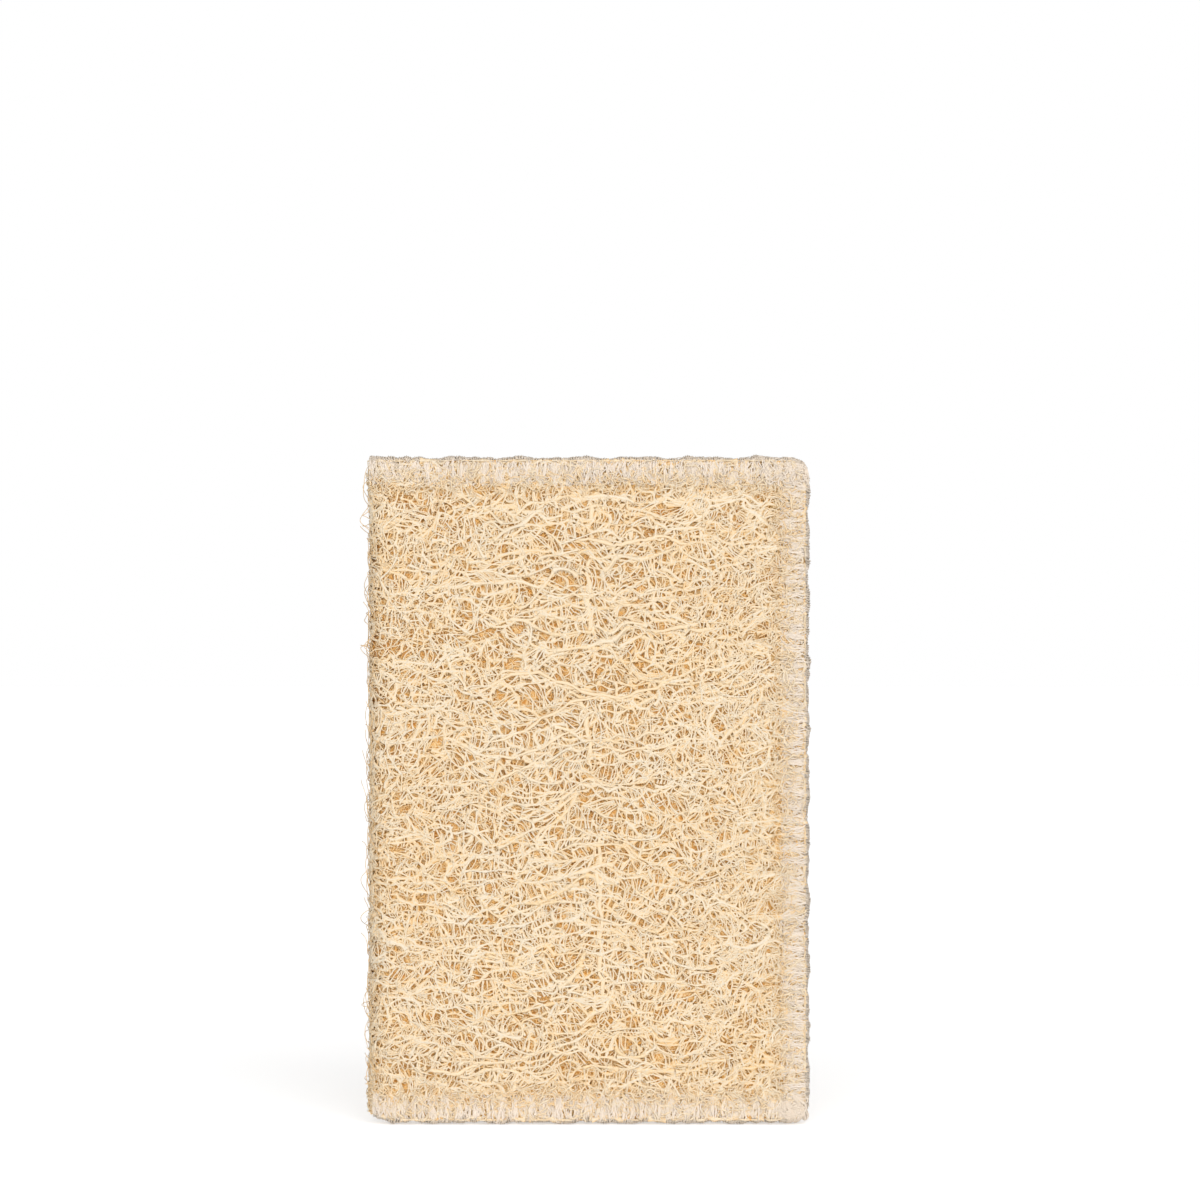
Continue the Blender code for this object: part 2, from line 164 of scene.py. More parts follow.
@dataclass(frozen=True)
class FoldedSheet:
    """The surface of the folded sheet, as the solid pad has it. Lengths are millimetres."""

    width: float
    height: float
    edge_in: float = 1.2
    seam_half: float = 3.0
    field_half: float = 5.2
    band: float = 6.2
    rise: float = 13.0
    corner_radius: float = 4.0
    fold_x: float = -43.6
    fold_reach: float = 5.3
    fold_length: float = 17.0
    curl: float = 1.5
    curl_height: float = 12.0
    curl_power: float = 1.2
    press: float = 0.2
    press_length: float = 0.8
    rim: float = 0.15
    sewn_in: float = 4.7
    sewn_rise: float = 4.0
    sag_power: float = 0.7
    front_rib_x: float = 0.8
    back_rib_x: float = -2.0

    @property
    def x_edge(self) -> float:
        """The cut right-hand edge."""
        return self.width / 2 - self.edge_in

    @property
    def z_low(self) -> float:
        """The cut lower edge."""
        return self.edge_in

    @property
    def z_high(self) -> float:
        """The cut upper edge."""
        return self.height - self.edge_in

    @property
    def length(self) -> float:
        """The sheet's length from the front right edge round to the back right edge."""
        return 2 * (self.x_edge - self.fold_x) + self.fold_length

    @property
    def ribs(self) -> tuple[float, float]:
        """Where the luffa's ribs run up the front and the back, along the sheet."""
        return self.x_edge - self.front_rib_x, self.length - (self.x_edge - self.back_rib_x)

    def limits(self) -> tuple[Array, Array]:
        """The lowest and the highest u and v that fibres may have."""
        return np.array([self.rim, self.z_low]), np.array([self.length - self.rim, self.z_high])

    def inward(self, run: Array, v: Array, start: float, length: float) -> Array:
        """Rise from 0 at the three cut edges to 1 further in."""
        return math.prod(smooth_step(a, start, length) for a in (run, v - self.z_low, self.z_high - v))

    def field_share(self, u: Array, v: Array) -> Array:
        """How far a place is out of the sewn band: 0 under the thread, 1 in the open field."""
        return self.inward(np.minimum(u, self.length - u), v, self.sewn_in, self.sewn_rise)

    def from_rib(self, u: Array, seamward: float, foldward: float) -> tuple[Array, Array]:
        """How far a place is from the nearest rib.

        Args:
            u: along the sheet.
            seamward: a value for places between a rib and the seam.
            foldward: a value for places between a rib and the fold.

        Returns:
            The distance, and the one of the two values that holds there.
        """
        front, back = self.ribs
        away = np.minimum(np.abs(u - front), np.abs(u - back))
        return away, np.where((u < front) | (u > back), seamward, foldward)

    def hammock(self, u: Array, v: Array) -> Array:
        """How strands sag between the ribs, the fold and the seams.

        Args:
            u: along the sheet.
            v: height.

        Returns:
            0 where they are held, to 1.
        """
        front, back = self.ribs
        marks = (self.band, front, self.length / 2, back, self.length - self.band)
        sag = sum(
            np.sin(math.pi * np.clip((u - start) / (end - start), 0.0, 1.0))
            for start, end in zip(marks, marks[1:])
        )
        rise = np.clip((v - self.z_low) / (self.z_high - self.z_low), 0.0, 1.0)
        return sag * np.sin(math.pi * rise ** self.sag_power)

    def base(self, u: Array, v: Array) -> Array:
        """The sheet's surface: thin under the thread, plump in the field.

        Args:
            u: along the sheet.
            v: height.

        Returns:
            Places in millimetres.
        """
        flat = self.x_edge - self.fold_x
        turn = np.clip((u - flat) / self.fold_length, 0.0, 1.0) * math.pi
        run = np.where(u < flat + self.fold_length / 2, u, self.length - u)
        x = self.x_edge - np.minimum(run, flat) - self.fold_reach * np.sin(turn)
        grow = self.inward(self.x_edge - np.maximum(x, self.fold_x), v, self.band, self.rise)
        half = blend(self.seam_half, self.field_half, grow)
        return np.stack([x, -half * np.cos(turn), v + 0.0 * u], axis=-1)

    def shape_corners(self, points: Array, radius: float) -> Array:
        """Round the two right-hand corners, and lift both ends of the lower edge.

        Args:
            points: places in millimetres.
            radius: the radius of the right-hand corners.

        Returns:
            The moved places.
        """
        middle = self.height / 2
        side = np.maximum(points[..., 0] - (self.x_edge - self.corner_radius), 0.0)
        above = np.abs(points[..., 2] - middle) - (self.z_high - middle - self.corner_radius)
        above = np.maximum(above, 0.0)
        a, b = (np.minimum(part / radius, 1.3) for part in (side, above))
        x = points[..., 0] + side * (np.sqrt(1.0 - b * b / 2) - 1.0)
        z = points[..., 2] + np.sign(points[..., 2] - middle) * above * (np.sqrt(1.0 - a * a / 2) - 1.0)
        out = np.maximum((self.fold_x - x) / self.fold_reach, 0.0)
        low = np.maximum(1.0 - z / self.curl_height, 0.0)
        past = np.maximum(self.fold_x - x, x - self.x_edge + self.corner_radius)
        free = smooth_step(past, 0.0, self.press_length)
        z = z + (self.curl * out ** self.curl_power + self.press * free) * low
        return np.stack([x, points[..., 1], z], axis=-1)

    def place(self, u: Array, v: Array, lift: Array) -> tuple[Array, Array]:
        """Places off the sheet's surface.

        Args:
            u: along the sheet.
            v: height.
            lift: height off the surface.

        Returns:
            The places and the outward directions there.
        """
        step = 0.05
        along = self.base(u + step, v) - self.base(u - step, v)
        up = self.base(u, v + step) - self.base(u, v - step)
        out = unit(np.cross(up, along))
        points = self.base(u, v) + out * lift[..., None]
        return self.shape_corners(points, self.corner_radius), out


class Strands:
    """Tubes with rings of any width and height, gathered for one mesh.

    An open tube covers only the arc that can be seen, in degrees from the sheet.
    """

    open_arc = (-24.0, 204.0)

    def __init__(self, painted_foot_shade: float = 0.0) -> None:
        """Start with no tubes.

        Args:
            painted_foot_shade: how much darker a tube is painted at its foot than on its crest: painted
                shade.
        """
        self.painted_foot_shade = painted_foot_shade
        self.points: list[Array] = []
        self.faces: list[Array] = []
        self.tints: list[Array] = []
        self.count = 0

    def add(
        self,
        centres: Array,
        out: Array,
        width: Array | float,
        flat: float,
        sides: int,
        depth: Array | float,
        tone: Array,
        closed: bool = False,
        ridges: Array | float = 1.0,
    ) -> None:
        """Add tubes that all have the same number of rings and sides.

        Args:
            centres: (tubes, rings, 3) centre lines, in millimetres.
            out: (tubes, rings, 3) directions out of the sheet.
            width: half widths along the sheet, for each ring, each tube or all.
            flat: a tube's height over its width.
            sides: how many corners each ring has.
            depth: how near the surface they lie, 0 deep to 1 on top, given like width. The finishes
                paint low depths darker, as painted shade.
            tone: (tubes,) each tube's own shade, -1 to 1.
            closed: whether the rings close underneath, where the sheet hides them.
            ridges: (tubes, sides) how far each corner stands out, about 1, for grooved strands.
        """
        tubes, rings = centres.shape[:2]
        along = unit(np.gradient(centres, axis=1))
        side = unit(np.cross(out, along))
        up = np.cross(along, side)
        angle = np.radians(np.linspace(*self.open_arc, sides))
        if closed:
            angle = math.pi / 2 + 2 * math.pi * np.arange(sides) / sides
        shape = np.broadcast_to(ridges, (tubes, sides))[:, None, :, None]
        wide = np.broadcast_to(width, (tubes, rings))[..., None, None]
        across = shape * np.cos(angle)[:, None] * wide
        above = shape * np.sin(angle)[:, None] * wide * flat
        ring = centres[:, :, None] + side[:, :, None] * across + up[:, :, None] * above
        self.points.append(ring.reshape(-1, 3))
        first = self.count + (np.arange(tubes) * rings * sides)[:, None]
        level = (np.arange(rings - 1) * sides)[None, :, None]
        corner = np.arange(sides if closed else sides - 1)
        a = first[..., None] + level + corner
        b = first[..., None] + level + (corner + 1) % sides
        self.faces.append(np.stack([a, b, b + sides, a + sides], axis=-1).reshape(-1, 4))
        if closed:
            self.faces.append(first + np.arange(sides)[::-1])
            self.faces.append(first + (rings - 1) * sides + np.arange(sides))
        # painted shade: a tube's sides and foot take a lower depth, so they are painted darker than its
        # crest
        foot = self.painted_foot_shade * (np.sin(angle) - 1.0) / 2
        depths = np.broadcast_to(depth, (tubes, rings))[..., None] + foot
        tones = np.broadcast_to(tone[:, None, None], depths.shape)
        self.tints.append(np.stack([depths, tones], axis=-1).reshape(-1, 2))
        self.count += tubes * rings * sides

    def add_surface(self, points: Array, faces: Sequence[Array], depth: Array) -> None:
        """Add a plain surface.

        Args:
            points: (n, 3) places in millimetres.
            faces: lots of corner numbers, each (faces, corners).
            depth: (n,) how near the surface each place lies.
        """
        self.faces.extend(lot + self.count for lot in faces)
        self.points.append(points)
        self.tints.append(np.stack([depth, np.zeros_like(depth)], axis=-1))
        self.count += len(points)

    def make(self, name: str, material: bpy.types.Material, slot: Slot) -> bpy.types.Object:
        """Write the mesh, in metres, and hand its object to the scene.

        Args:
            name: the piece's name.
            material: its finish.
            slot: the record's slot that the finish belongs to; not used.

        Returns:
            The new object, riding on the pad's body.
        """
        mesh = bpy.data.meshes.new(name)
        points = np.concatenate(self.points) * MM
        sizes = np.concatenate([np.full(len(f), f.shape[1]) for f in self.faces])
        corners = np.concatenate([f.reshape(-1) for f in self.faces])
        starts = np.concatenate([[0], np.cumsum(sizes)[:-1]])
        mesh.vertices.add(len(points))
        mesh.vertices.foreach_set("co", points.reshape(-1).astype(np.float32))
        mesh.loops.add(len(corners))
        mesh.loops.foreach_set("vertex_index", corners.astype(np.int32))
        mesh.polygons.add(len(sizes))
        mesh.polygons.foreach_set("loop_start", starts.astype(np.int32))
        mesh.update(calc_edges=True)
        mesh.validate()
        mesh.shade_smooth()
        for label, values in zip(TINTS, np.concatenate(self.tints).T):
            layer = mesh.attributes.new(label, "FLOAT", "POINT")
            layer.data.foreach_set("value", values.astype(np.float32))
        mesh.materials.append(material)
        piece = bpy.data.objects.new(name, mesh)
        bpy.context.scene.collection.objects.link(piece)
        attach(piece, BODY)
        return piece


class NodeBench:
    """The node tree of a material or a world, and one way to add to it."""

    def __init__(self, holder: Holder, shader: str = "Principled BSDF") -> None:
        """Start with the nodes that every new tree has.

        Args:
            holder: what the tree belongs to.
            shader: the name of the node that everything leads to.
        """
        holder.use_nodes = True
        self.tree = holder.node_tree
        self.shader = self.tree.nodes[shader]

    def add(
        self,
        kind: str,
        settings: dict[str, object] | None = None,
        stops: Stops = (),
        **inputs: object,
    ) -> bpy.types.Node:
        """Add a node with its settings and links.

        Args:
            kind: the node's type, without its "ShaderNode" beginning.
            settings: properties to set on the node.
            stops: a place from 0 to 1 and a hex colour for each stop of its colour ramp. The
                ramp has two already, which take the first two places.
            inputs: a value, a node or an output socket for each input, by the input's name with
                spaces as underscores, or by its number after an underscore.

        Returns:
            The new node.
        """
        node = self.tree.nodes.new("ShaderNode" + kind)
        for key, value in (settings or {}).items():
            setattr(node, key, value)
        for at, (place, colour) in enumerate(stops):
            elements = node.color_ramp.elements
            element = elements[at] if at < 2 else elements.new(place)
            element.position = place
            element.color = linear(colour)
        self.feed(node, **inputs)
        return node

    def feed(self, node: bpy.types.Node, **inputs: object) -> None:
        """Set or link a node's inputs.

        Args:
            node: the node that is fed.
            inputs: as for add. A node stands for its first output.
        """
        for key, value in inputs.items():
            socket = node.inputs[int(key[1:])] if key[0] == "_" else node.inputs[key.replace("_", " ")]
            source = value.outputs[0] if isinstance(value, bpy.types.Node) else value
            if isinstance(source, bpy.types.NodeSocket):
                self.tree.links.new(source, socket)
            else:
                socket.default_value = source


@dataclass(frozen=True)
class StrandFinish:
    """What the two strand finishes share: the colour goes by how near the surface a place is,
    and deep places are painted darker, as painted shade.

    Each speckle is a noise's size in millimetres, its detail, and how far it shifts the level on
    the colour ramp. The last one also raises the surface.
    """

    name: str
    stops: Stops
    tone_gain: float
    speckles: Speckles
    bump: float
    bump_mm: float
    roughness: float
    ior: float = 1.50
    sheen: float = 0.0

    def make(self) -> bpy.types.Material:
        """Build the material.

        Returns:
            The new material.
        """
        material = bpy.data.materials.new(self.name)
        bench = NodeBench(material)
        where = bench.add("TexCoord").outputs["Object"]
        depth, tone = (bench.add("Attribute", {"attribute_name": label}).outputs["Fac"] for label in TINTS)
        mean_shift = sum(gain for _, _, gain in self.speckles) / 2
        # the level starts from depth, so deep places are painted darker: painted shade
        level = bench.add("Math", {"operation": "SUBTRACT"}, _0=depth, _1=mean_shift)
        level = bench.add("Math", {"operation": "MULTIPLY_ADD"}, _0=tone, _1=self.tone_gain, _2=level)
        for size, detail, gain in self.speckles:
            speckle = bench.add("TexNoise", _0=where, Scale=1.0 / (size * MM), Detail=detail)
            level = bench.add("Math", {"operation": "MULTIPLY_ADD"}, _0=speckle, _1=gain, _2=level)
        colour = bench.add("ValToRGB", stops=self.stops, _0=level)
        bump = bench.add("Bump", Strength=self.bump, Distance=self.bump_mm * MM, Height=speckle)
        bench.feed(bench.shader, Base_Color=colour, Normal=bump, Roughness=self.roughness)
        bench.feed(bench.shader, IOR=self.ior, Sheen_Weight=self.sheen)
        return material


@dataclass(frozen=True)
class LuffaFibre(StrandFinish):
    """Dried, bleached luffa fibre: matt cellulose strands, with a faint gloss.

    Near the surface they are cream. Deeper ones are painted straw, then amber: painted shade and
    warm bounced light in the holes of the net, which the eye reads as warm holes. It is blotched
    over 14 mm, as it bleaches, and grained at 0.35 mm, the width of a strand.
    """

    name: str = "luffa_fibre_bleached"
    # deep places take the amber end of the ramp: painted shade
    stops: Stops = ((0.0, "DB9430"), (1.0, "E9DBC4"), (0.35, "E4AE5F"), (0.7, "EACDA0"))
    tone_gain: float = 0.07
    speckles: Speckles = ((14.0, 2.0, 0.22), (0.35, 3.0, 0.24))
    bump: float = 0.35
    bump_mm: float = 0.05
    roughness: float = 0.62


@dataclass(frozen=True)
class WoollyThread(StrandFinish):
    """Textured polyester overlock thread: many crimped filaments, matt, soft and slightly pink.

    The stray filaments catch the light as a soft sheen. Its own twist is finer than the picture
    shows, so it is drawn as 0.25 mm streaks. Where it lies deep, in the chain and at the needle
    holes, it is painted darker and greyer: painted shade.
    """

    name: str = "overlock_thread_woolly"
    # the dark grey end of the ramp is painted shade
    stops: Stops = ((0.0, "CDC0AF"), (1.0, "EEE1D3"), (0.5, "E8D9C7"))
    tone_gain: float = 0.12
    speckles: Speckles = ((0.25, 3.0, 0.5),)
    bump: float = 0.5
    bump_mm: float = 0.06
    roughness: float = 0.9
    sheen: float = 0.25


@dataclass(frozen=True)
class LuffaMat:
    """The matted inner fibres seen through the net: fine crossing fibres over hollows painted amber as
    shade.

    The hollows between the fibres are 0.8 mm across, so the eye reads a finer net behind the net.
    """

    name: str = "luffa_fibre_matted"
    # fibre colour at the cell edges, darker amber painted shade in the cell middles
    stops: Stops = ((0.06, "E8C58F"), (0.34, "CB893E"), (0.16, "DCA55F"))
    hollow_mm: float = 0.8
    bend_mm: float = 5.0
    bend_by_mm: float = 4.0
    sewn_shut: float = 0.85
    bump: float = 0.9
    bump_mm: float = 0.4
    roughness: float = 0.8

    def make(self) -> bpy.types.Material:
        """Build the material.

        Returns:
            The new material.
        """
        material = bpy.data.materials.new(self.name)
        bench = NodeBench(material)
        where = bench.add("TexCoord").outputs["Object"]
        bend = bench.add("TexNoise", _0=where, Scale=1.0 / (self.bend_mm * MM), Detail=1.0).outputs["Color"]
        centred = bench.add("VectorMath", {"operation": "SUBTRACT"}, _0=bend, _1=(0.5, 0.5, 0.5))
        pull = bench.add("VectorMath", {"operation": "SCALE"}, _0=centred, Scale=self.bend_by_mm * MM)
        bent = bench.add("VectorMath", {"operation": "ADD"}, _0=where, _1=pull)
        edges = {"feature": "DISTANCE_TO_EDGE"}
        cells = bench.add("TexVoronoi", edges, Vector=bent, Scale=1.0 / (self.hollow_mm * MM))
        sewn = bench.add("Attribute", {"attribute_name": TINTS[0]}).outputs["Fac"]
        press = bench.add("Math", {"operation": "MULTIPLY_ADD"}, _0=sewn, _1=-self.sewn_shut, _2=1.0)
        # the cell middles, far from the fibres, go to the amber painted shade
        level = bench.add("Math", {"operation": "MULTIPLY"}, _0=cells, _1=press)
        colour = bench.add("ValToRGB", stops=self.stops, _0=level)
        sunk = {"invert": True}
        bump = bench.add("Bump", sunk, Strength=self.bump, Distance=self.bump_mm * MM, Height=cells)
        bench.feed(bench.shader, Base_Color=colour, Normal=bump, Roughness=self.roughness)
        return material


def dual_net(seeds: Array) -> tuple[Array, Array, Array, Array]:
    """The net whose cells lie round the seeds.

    Args:
        seeds: (n, 2) cell centres.

    Returns:
        The net's joints (m, 2), its links as pairs of joints (e, 2), each joint's three links
        (m, 3), with -1 where one is missing at the rim, and its three cells (m, 3).
    """
    found = delaunay_2d_cdt([Vector(p) for p in seeds], [], [], 0, 1e-7)
    places = np.array([tuple(p) for p in found[0]])
    triangles = np.array(found[2])
    joints = places[triangles].mean(axis=1)
    sides = np.concatenate([triangles[:, [0, 1]], triangles[:, [1, 2]], triangles[:, [2, 0]]])
    sides = np.sort(sides, axis=1)
    owner = np.tile(np.arange(len(triangles)), 3)
    corner = np.repeat(np.arange(3), len(triangles))
    order = np.lexsort((sides[:, 1], sides[:, 0]))
    sides, owner, corner = sides[order], owner[order], corner[order]
    shared = np.flatnonzero((sides[1:] == sides[:-1]).all(axis=1))
    at_joint = np.full((len(triangles), 3), -1)
    for one in (shared, shared + 1):
        at_joint[owner[one], corner[one]] = np.arange(len(shared))
    return joints, np.stack([owner[shared], owner[shared + 1]], axis=1), at_joint, triangles


@dataclass
class FibreNet:
    """One layer of the luffa's net: strands that run on through joints and branch off them.

    It is drawn on flat paper with cells of the given height, stretched sideways, bent by smooth
    fields, and laid on the folded sheet. Lengths are millimetres. look gives how much thicker
    the strands are at each place.
    """

    sheet: FoldedSheet
    seed: int
    cell: float
    stretch: float
    thickness: float
    flatness: float
    vary: float
    low: float
    high: float
    rings: int
    sides: int
    swirl: float
    swirl_length: float
    sag: float
    seam_lift: float
    lost: float
    depths: tuple[float, float]
    flare: float = 1.2
    jitter: float = 0.4
    grooves: float = 0.0
    size_limits: tuple[float, float] = (-2.0, 1.5)
    slant: tuple[float, float] = (0.45, 0.75)
    joined_links: int = 14
    layer_waves: float = 11.0
    painted_foot_shade: float = 0.5
    look: Callable[[Array], Array] = np.ones_like

    def draw(self) -> tuple[np.random.Generator, Array, Array, Array, Array]:
        """Draw the net round jittered columns of bricks, and bend it over the sheet.

        Returns:
            The source of the draws still to come, the joints (m, 2) in u and v, the links
            (e, 2), and each joint's links and cells (m, 3).
        """
        sheet, rng = self.sheet, np.random.default_rng(self.seed)
        margin = 3 * self.cell
        rows = np.arange(-margin, sheet.height + margin, self.cell)
        columns = np.arange(-margin, sheet.length / self.stretch + margin, self.cell * math.sqrt(3) / 2)
        u, v = np.meshgrid(columns, rows)
        v = v + (np.arange(len(columns)) % 2)[None, :] * self.cell / 2
        seeds = np.stack([u.ravel(), v.ravel()], axis=1)
        seeds = seeds + rng.uniform(-self.jitter, self.jitter, seeds.shape) * self.cell
        joints, links, at_joint, owners = dual_net(seeds)
        u, v = joints[:, 0] * self.stretch, joints[:, 1]
        for wavelength in (self.swirl_length, self.swirl_length * 0.45):
            push_u, push_v = WaveField(rng, wavelength), WaveField(rng, wavelength)
            gain = self.swirl * wavelength / (2 * math.pi)
            u, v = u + gain * push_u.at(u, v), v + gain * push_v.at(u, v)
        v = v - self.sag * sheet.hammock(u, v)
        return rng, np.stack([u, v], axis=1), links, at_joint, owners

    def cells(self) -> list[Array]:
        """Sort out the net's cells.

        Returns:
            The corners of each cell, in order round it, in u and v.
        """
        _, joints, _, _, owners = self.draw()
        order = np.argsort(owners.ravel(), kind="stable")
        starts = np.flatnonzero(np.diff(owners.ravel()[order]))
        rings = []
        for corners in (joints[ring] for ring in np.split(order // 3, starts + 1)):
            spoke = corners - corners.mean(axis=0)
            rings.append(corners[np.argsort(np.arctan2(spoke[:, 1], spoke[:, 0]))])
        return rings

    def tangents(self, joints: Array, links: Array, at_joint: Array) -> tuple[Array, Array]:
        """Directions in which the strands pass through each joint.

        The two most opposite links run straight through; the third leaves at a slant.

        Args:
            joints: (m, 2) joints.
            links: (e, 2) pairs of joints.
            at_joint: (m, 3) links at each joint.

        Returns:
            Directions at both ends of each link (e, 2, 2), and each link's strand number.
        """
        here = np.flatnonzero((at_joint >= 0).all(axis=1))
        mine = at_joint[here]
        far = np.where(links[mine, 0] == here[:, None], links[mine, 1], links[mine, 0])
        away = unit(joints[far] - joints[here][:, None])
        pairs = np.array(((0, 1, 2), (1, 2, 0), (2, 0, 1)))
        cosines = np.stack([(away[:, a] * away[:, b]).sum(-1) for a, b, _ in pairs], axis=1)
        first, second, third = pairs[cosines.argmin(axis=1)].T
        rows = np.arange(len(here))
        through = unit(away[rows, first] - away[rows, second])
        branch = away[rows, third]
        lean = np.sign((branch * through).sum(-1, keepdims=True))
        branch = unit(self.slant[0] * branch + self.slant[1] * lean * through)
        ends = unit(joints[links[:, 1]] - joints[links[:, 0]])
        directions = np.stack([ends, ends], axis=1)
        for which, way in ((first, through), (second, -through), (third, branch)):
            link = mine[rows, which]
            at_start = links[link, 0] == here
            directions[link, np.where(at_start, 0, 1)] = np.where(at_start[:, None], way, -way)
        strand = np.arange(len(links))
        one, two = mine[rows, first], mine[rows, second]
        for _ in range(self.joined_links):
            least = np.minimum(strand[one], strand[two])
            np.minimum.at(strand, one, least)
            np.minimum.at(strand, two, least)
        return directions, strand

    def build(self) -> Strands:
        """Lay the net on the sheet.

        Returns:
            Its strands as tubes, each a smooth curve from joint to joint.
        """
        sheet = self.sheet
        rng, joints, links, at_joint, _ = self.draw()
        lowest, highest = sheet.limits()
        inside = ((joints > lowest) & (joints < highest)).all(axis=1)
        directions, strand = self.tangents(joints, links, at_joint)
        size = np.exp(self.vary * np.clip(rng.standard_normal(len(links)), *self.size_limits))[strand]
        tone = shades(rng, len(links))[strand]
        waves, jitter = WaveField(rng, self.layer_waves), rng.uniform(-1, 1, len(joints))
        layer = 0.5 + 0.22 * waves.at(joints[:, 0], joints[:, 1]) + 0.28 * jitter
        bulge = rng.uniform(-0.25, 0.6, len(links))
        keep = inside[links].any(axis=1) & (rng.random(len(links)) >= self.lost)
        links, directions, size, tone, bulge = (a[keep] for a in (links, directions, size, tone, bulge))
        t = np.linspace(0.0, 1.0, self.rings)[None, :, None]
        start, end = joints[links[:, 0]][:, None], joints[links[:, 1]][:, None]
        reach = np.linalg.norm(end - start, axis=-1, keepdims=True)
        leave, arrive = (reach * directions[:, None, at] for at in (0, 1))
        path = blend(start, end, smooth_step(t, 0.0, 1.0)) + t * (1 - t) * (leave * (1 - t) - arrive * t)
        u, v = np.moveaxis(np.clip(path, lowest, highest), -1, 0)
        t = t[..., 0]
        level = blend(layer[links[:, 0]][:, None], layer[links[:, 1]][:, None], t)
        level = np.clip(level + bulge[:, None] * t * (1 - t) * 2, 0.0, 1.25)
        share = sheet.field_share(u, v)
        bulk = self.look(u)
        lift = blend(self.low, self.high, level * bulk) * blend(SEWN_FLAT, 1.0, share)
        centres, out = sheet.place(u, v, lift + self.seam_lift * (1 - share))
        swell = 1 + self.flare * (2 * t - 1) ** 4
        width = self.thickness / 2 * size[:, None] * swell * bulk
        # lower strands get a lower depth and are painted darker: painted shade
        depth = blend(*self.depths, level)
        ridges = 1 + self.grooves * rng.uniform(-1.0, 0.4, (len(links), self.sides))
        strands = Strands(self.painted_foot_shade)
        strands.add(centres, out, width, self.flatness, self.sides, depth, tone, ridges=ridges)
        return strands


@dataclass
class CellRungs:
    """The fine rungs that fill each almond cell of a net, in a fan from strand to strand.

    Lengths are millimetres, and angles are degrees.
    """

    net: FibreNet
    seed: int = 35
    spacing: float = 0.86
    thickness: float = 0.33
    rings: int = 4
    lean: float = 30.0
    fan: float = 34.0
    own: float = 9.0
    bow: float = 0.13
    top: float = 0.14
    dip: tuple[float, float] = (0.05, 0.4)
    depths: tuple[float, float] = (0.86, 1.1)
    first_share: float = 0.06
    whole_share: float = 0.88
    clear: float = 0.8
    jitter: float = 0.3
    furthest: float = 6.0
    shortest: float = 0.6
    seam_lift: float = 0.3
    uneven_lift: float = 0.12
    vary: float = 0.2
    flare: float = 0.7
    flatness: float = 0.8
    painted_foot_shade: float = 0.45

    def across_cell(self, corners: Array, rng: np.random.Generator) -> Array:
        """Both ends of each rung of one cell.

        Args:
            corners: (n, 2) the cell's corners, in order round it.
            rng: the seeded source of random draws.

        Returns:
            (rungs, 4) u and v of one end on the cell's rim, then of the other.
        """
        left, right = corners[corners[:, 0].argmin()], corners[corners[:, 0].argmax()]
        axis = right - left
        count = max(1, round((float(np.hypot(*axis)) - self.clear) / self.spacing))
        share = (np.arange(count) + 0.5 + rng.uniform(-self.jitter, self.jitter, count)) / count
        middle = left + axis * (self.first_share + self.whole_share * share)[:, None]
        turn = rng.normal(0.0, self.lean) + rng.normal(0.0, self.fan) * (2 * share - 1)
        turn = np.radians(90.0 + turn + rng.normal(0.0, self.own, count)) + math.atan2(axis[1], axis[0])
        way = np.stack([np.cos(turn), np.sin(turn)], axis=1)
        edge_u, edge_v = (np.roll(corners, -1, axis=0) - corners).T
        gap_u, gap_v = np.moveaxis(corners[None] - middle[:, None], -1, 0)
        cross = way[:, :1] * edge_v - way[:, 1:] * edge_u
        cross = np.where(np.abs(cross) < 1e-6, 1e-6, cross)
        reach = (gap_u * edge_v - gap_v * edge_u) / cross
        along = (gap_u * way[:, 1:] - gap_v * way[:, :1]) / cross
        hit = (along >= 0.0) & (along <= 1.0)
        ahead = np.where(hit & (reach > 0), reach, math.inf).min(axis=1)
        behind = np.where(hit & (reach < 0), reach, -math.inf).max(axis=1)
        good = np.maximum(ahead, -behind) < self.furthest
        good &= ahead - behind > self.shortest
        middle, way, ahead, behind = (a[good] for a in (middle, way, ahead[:, None], behind[:, None]))
        return np.concatenate([middle + way * behind, middle + way * ahead], axis=1)

    def build(self) -> Strands:
        """Lay the rungs of every cell on the sheet.

        Returns:
            The rungs as tubes.
        """
        rng = np.random.default_rng(self.seed)
        sheet = self.net.sheet
        lowest, highest = sheet.limits()
        ends = []
        for corners in self.net.cells():
            if len(corners) > 3 and ((corners > lowest) & (corners < highest)).all():
                ends.append(self.across_cell(corners, rng))
        start, end = np.split(np.concatenate(ends)[:, None], 2, axis=2)
        count = len(start)
        t = np.linspace(0.0, 1.0, self.rings)[None, :]
        arch = np.sin(math.pi * t)
        turned = np.stack([start[..., 1] - end[..., 1], end[..., 0] - start[..., 0]], axis=-1)
        bow = rng.normal(0.0, self.bow, (count, 1)) * arch
        u, v = np.moveaxis(blend(start, end, t[..., None]) + turned * bow[..., None], -1, 0)
        share = sheet.field_share(u, v)
        dip = rng.uniform(*self.dip, (count, 1))
        lift = self.top + rng.uniform(-self.uneven_lift, self.uneven_lift, (count, 1)) - dip * arch
        centres, out = sheet.place(u, v, lift + self.seam_lift * (1 - share))
        size = np.exp(self.vary * rng.standard_normal((count, 1)))
        width = self.thickness / 2 * size * (1 + self.flare * (2 * t - 1) ** 4)
        # rungs that dip further are painted darker: painted shade
        depth = blend(*self.depths[::-1], (dip - self.dip[0]) / (self.dip[1] - self.dip[0]))
        strands = Strands(self.painted_foot_shade)
        strands.add(centres, out, width, self.flatness, 3, depth, shades(rng, count))
        return strands


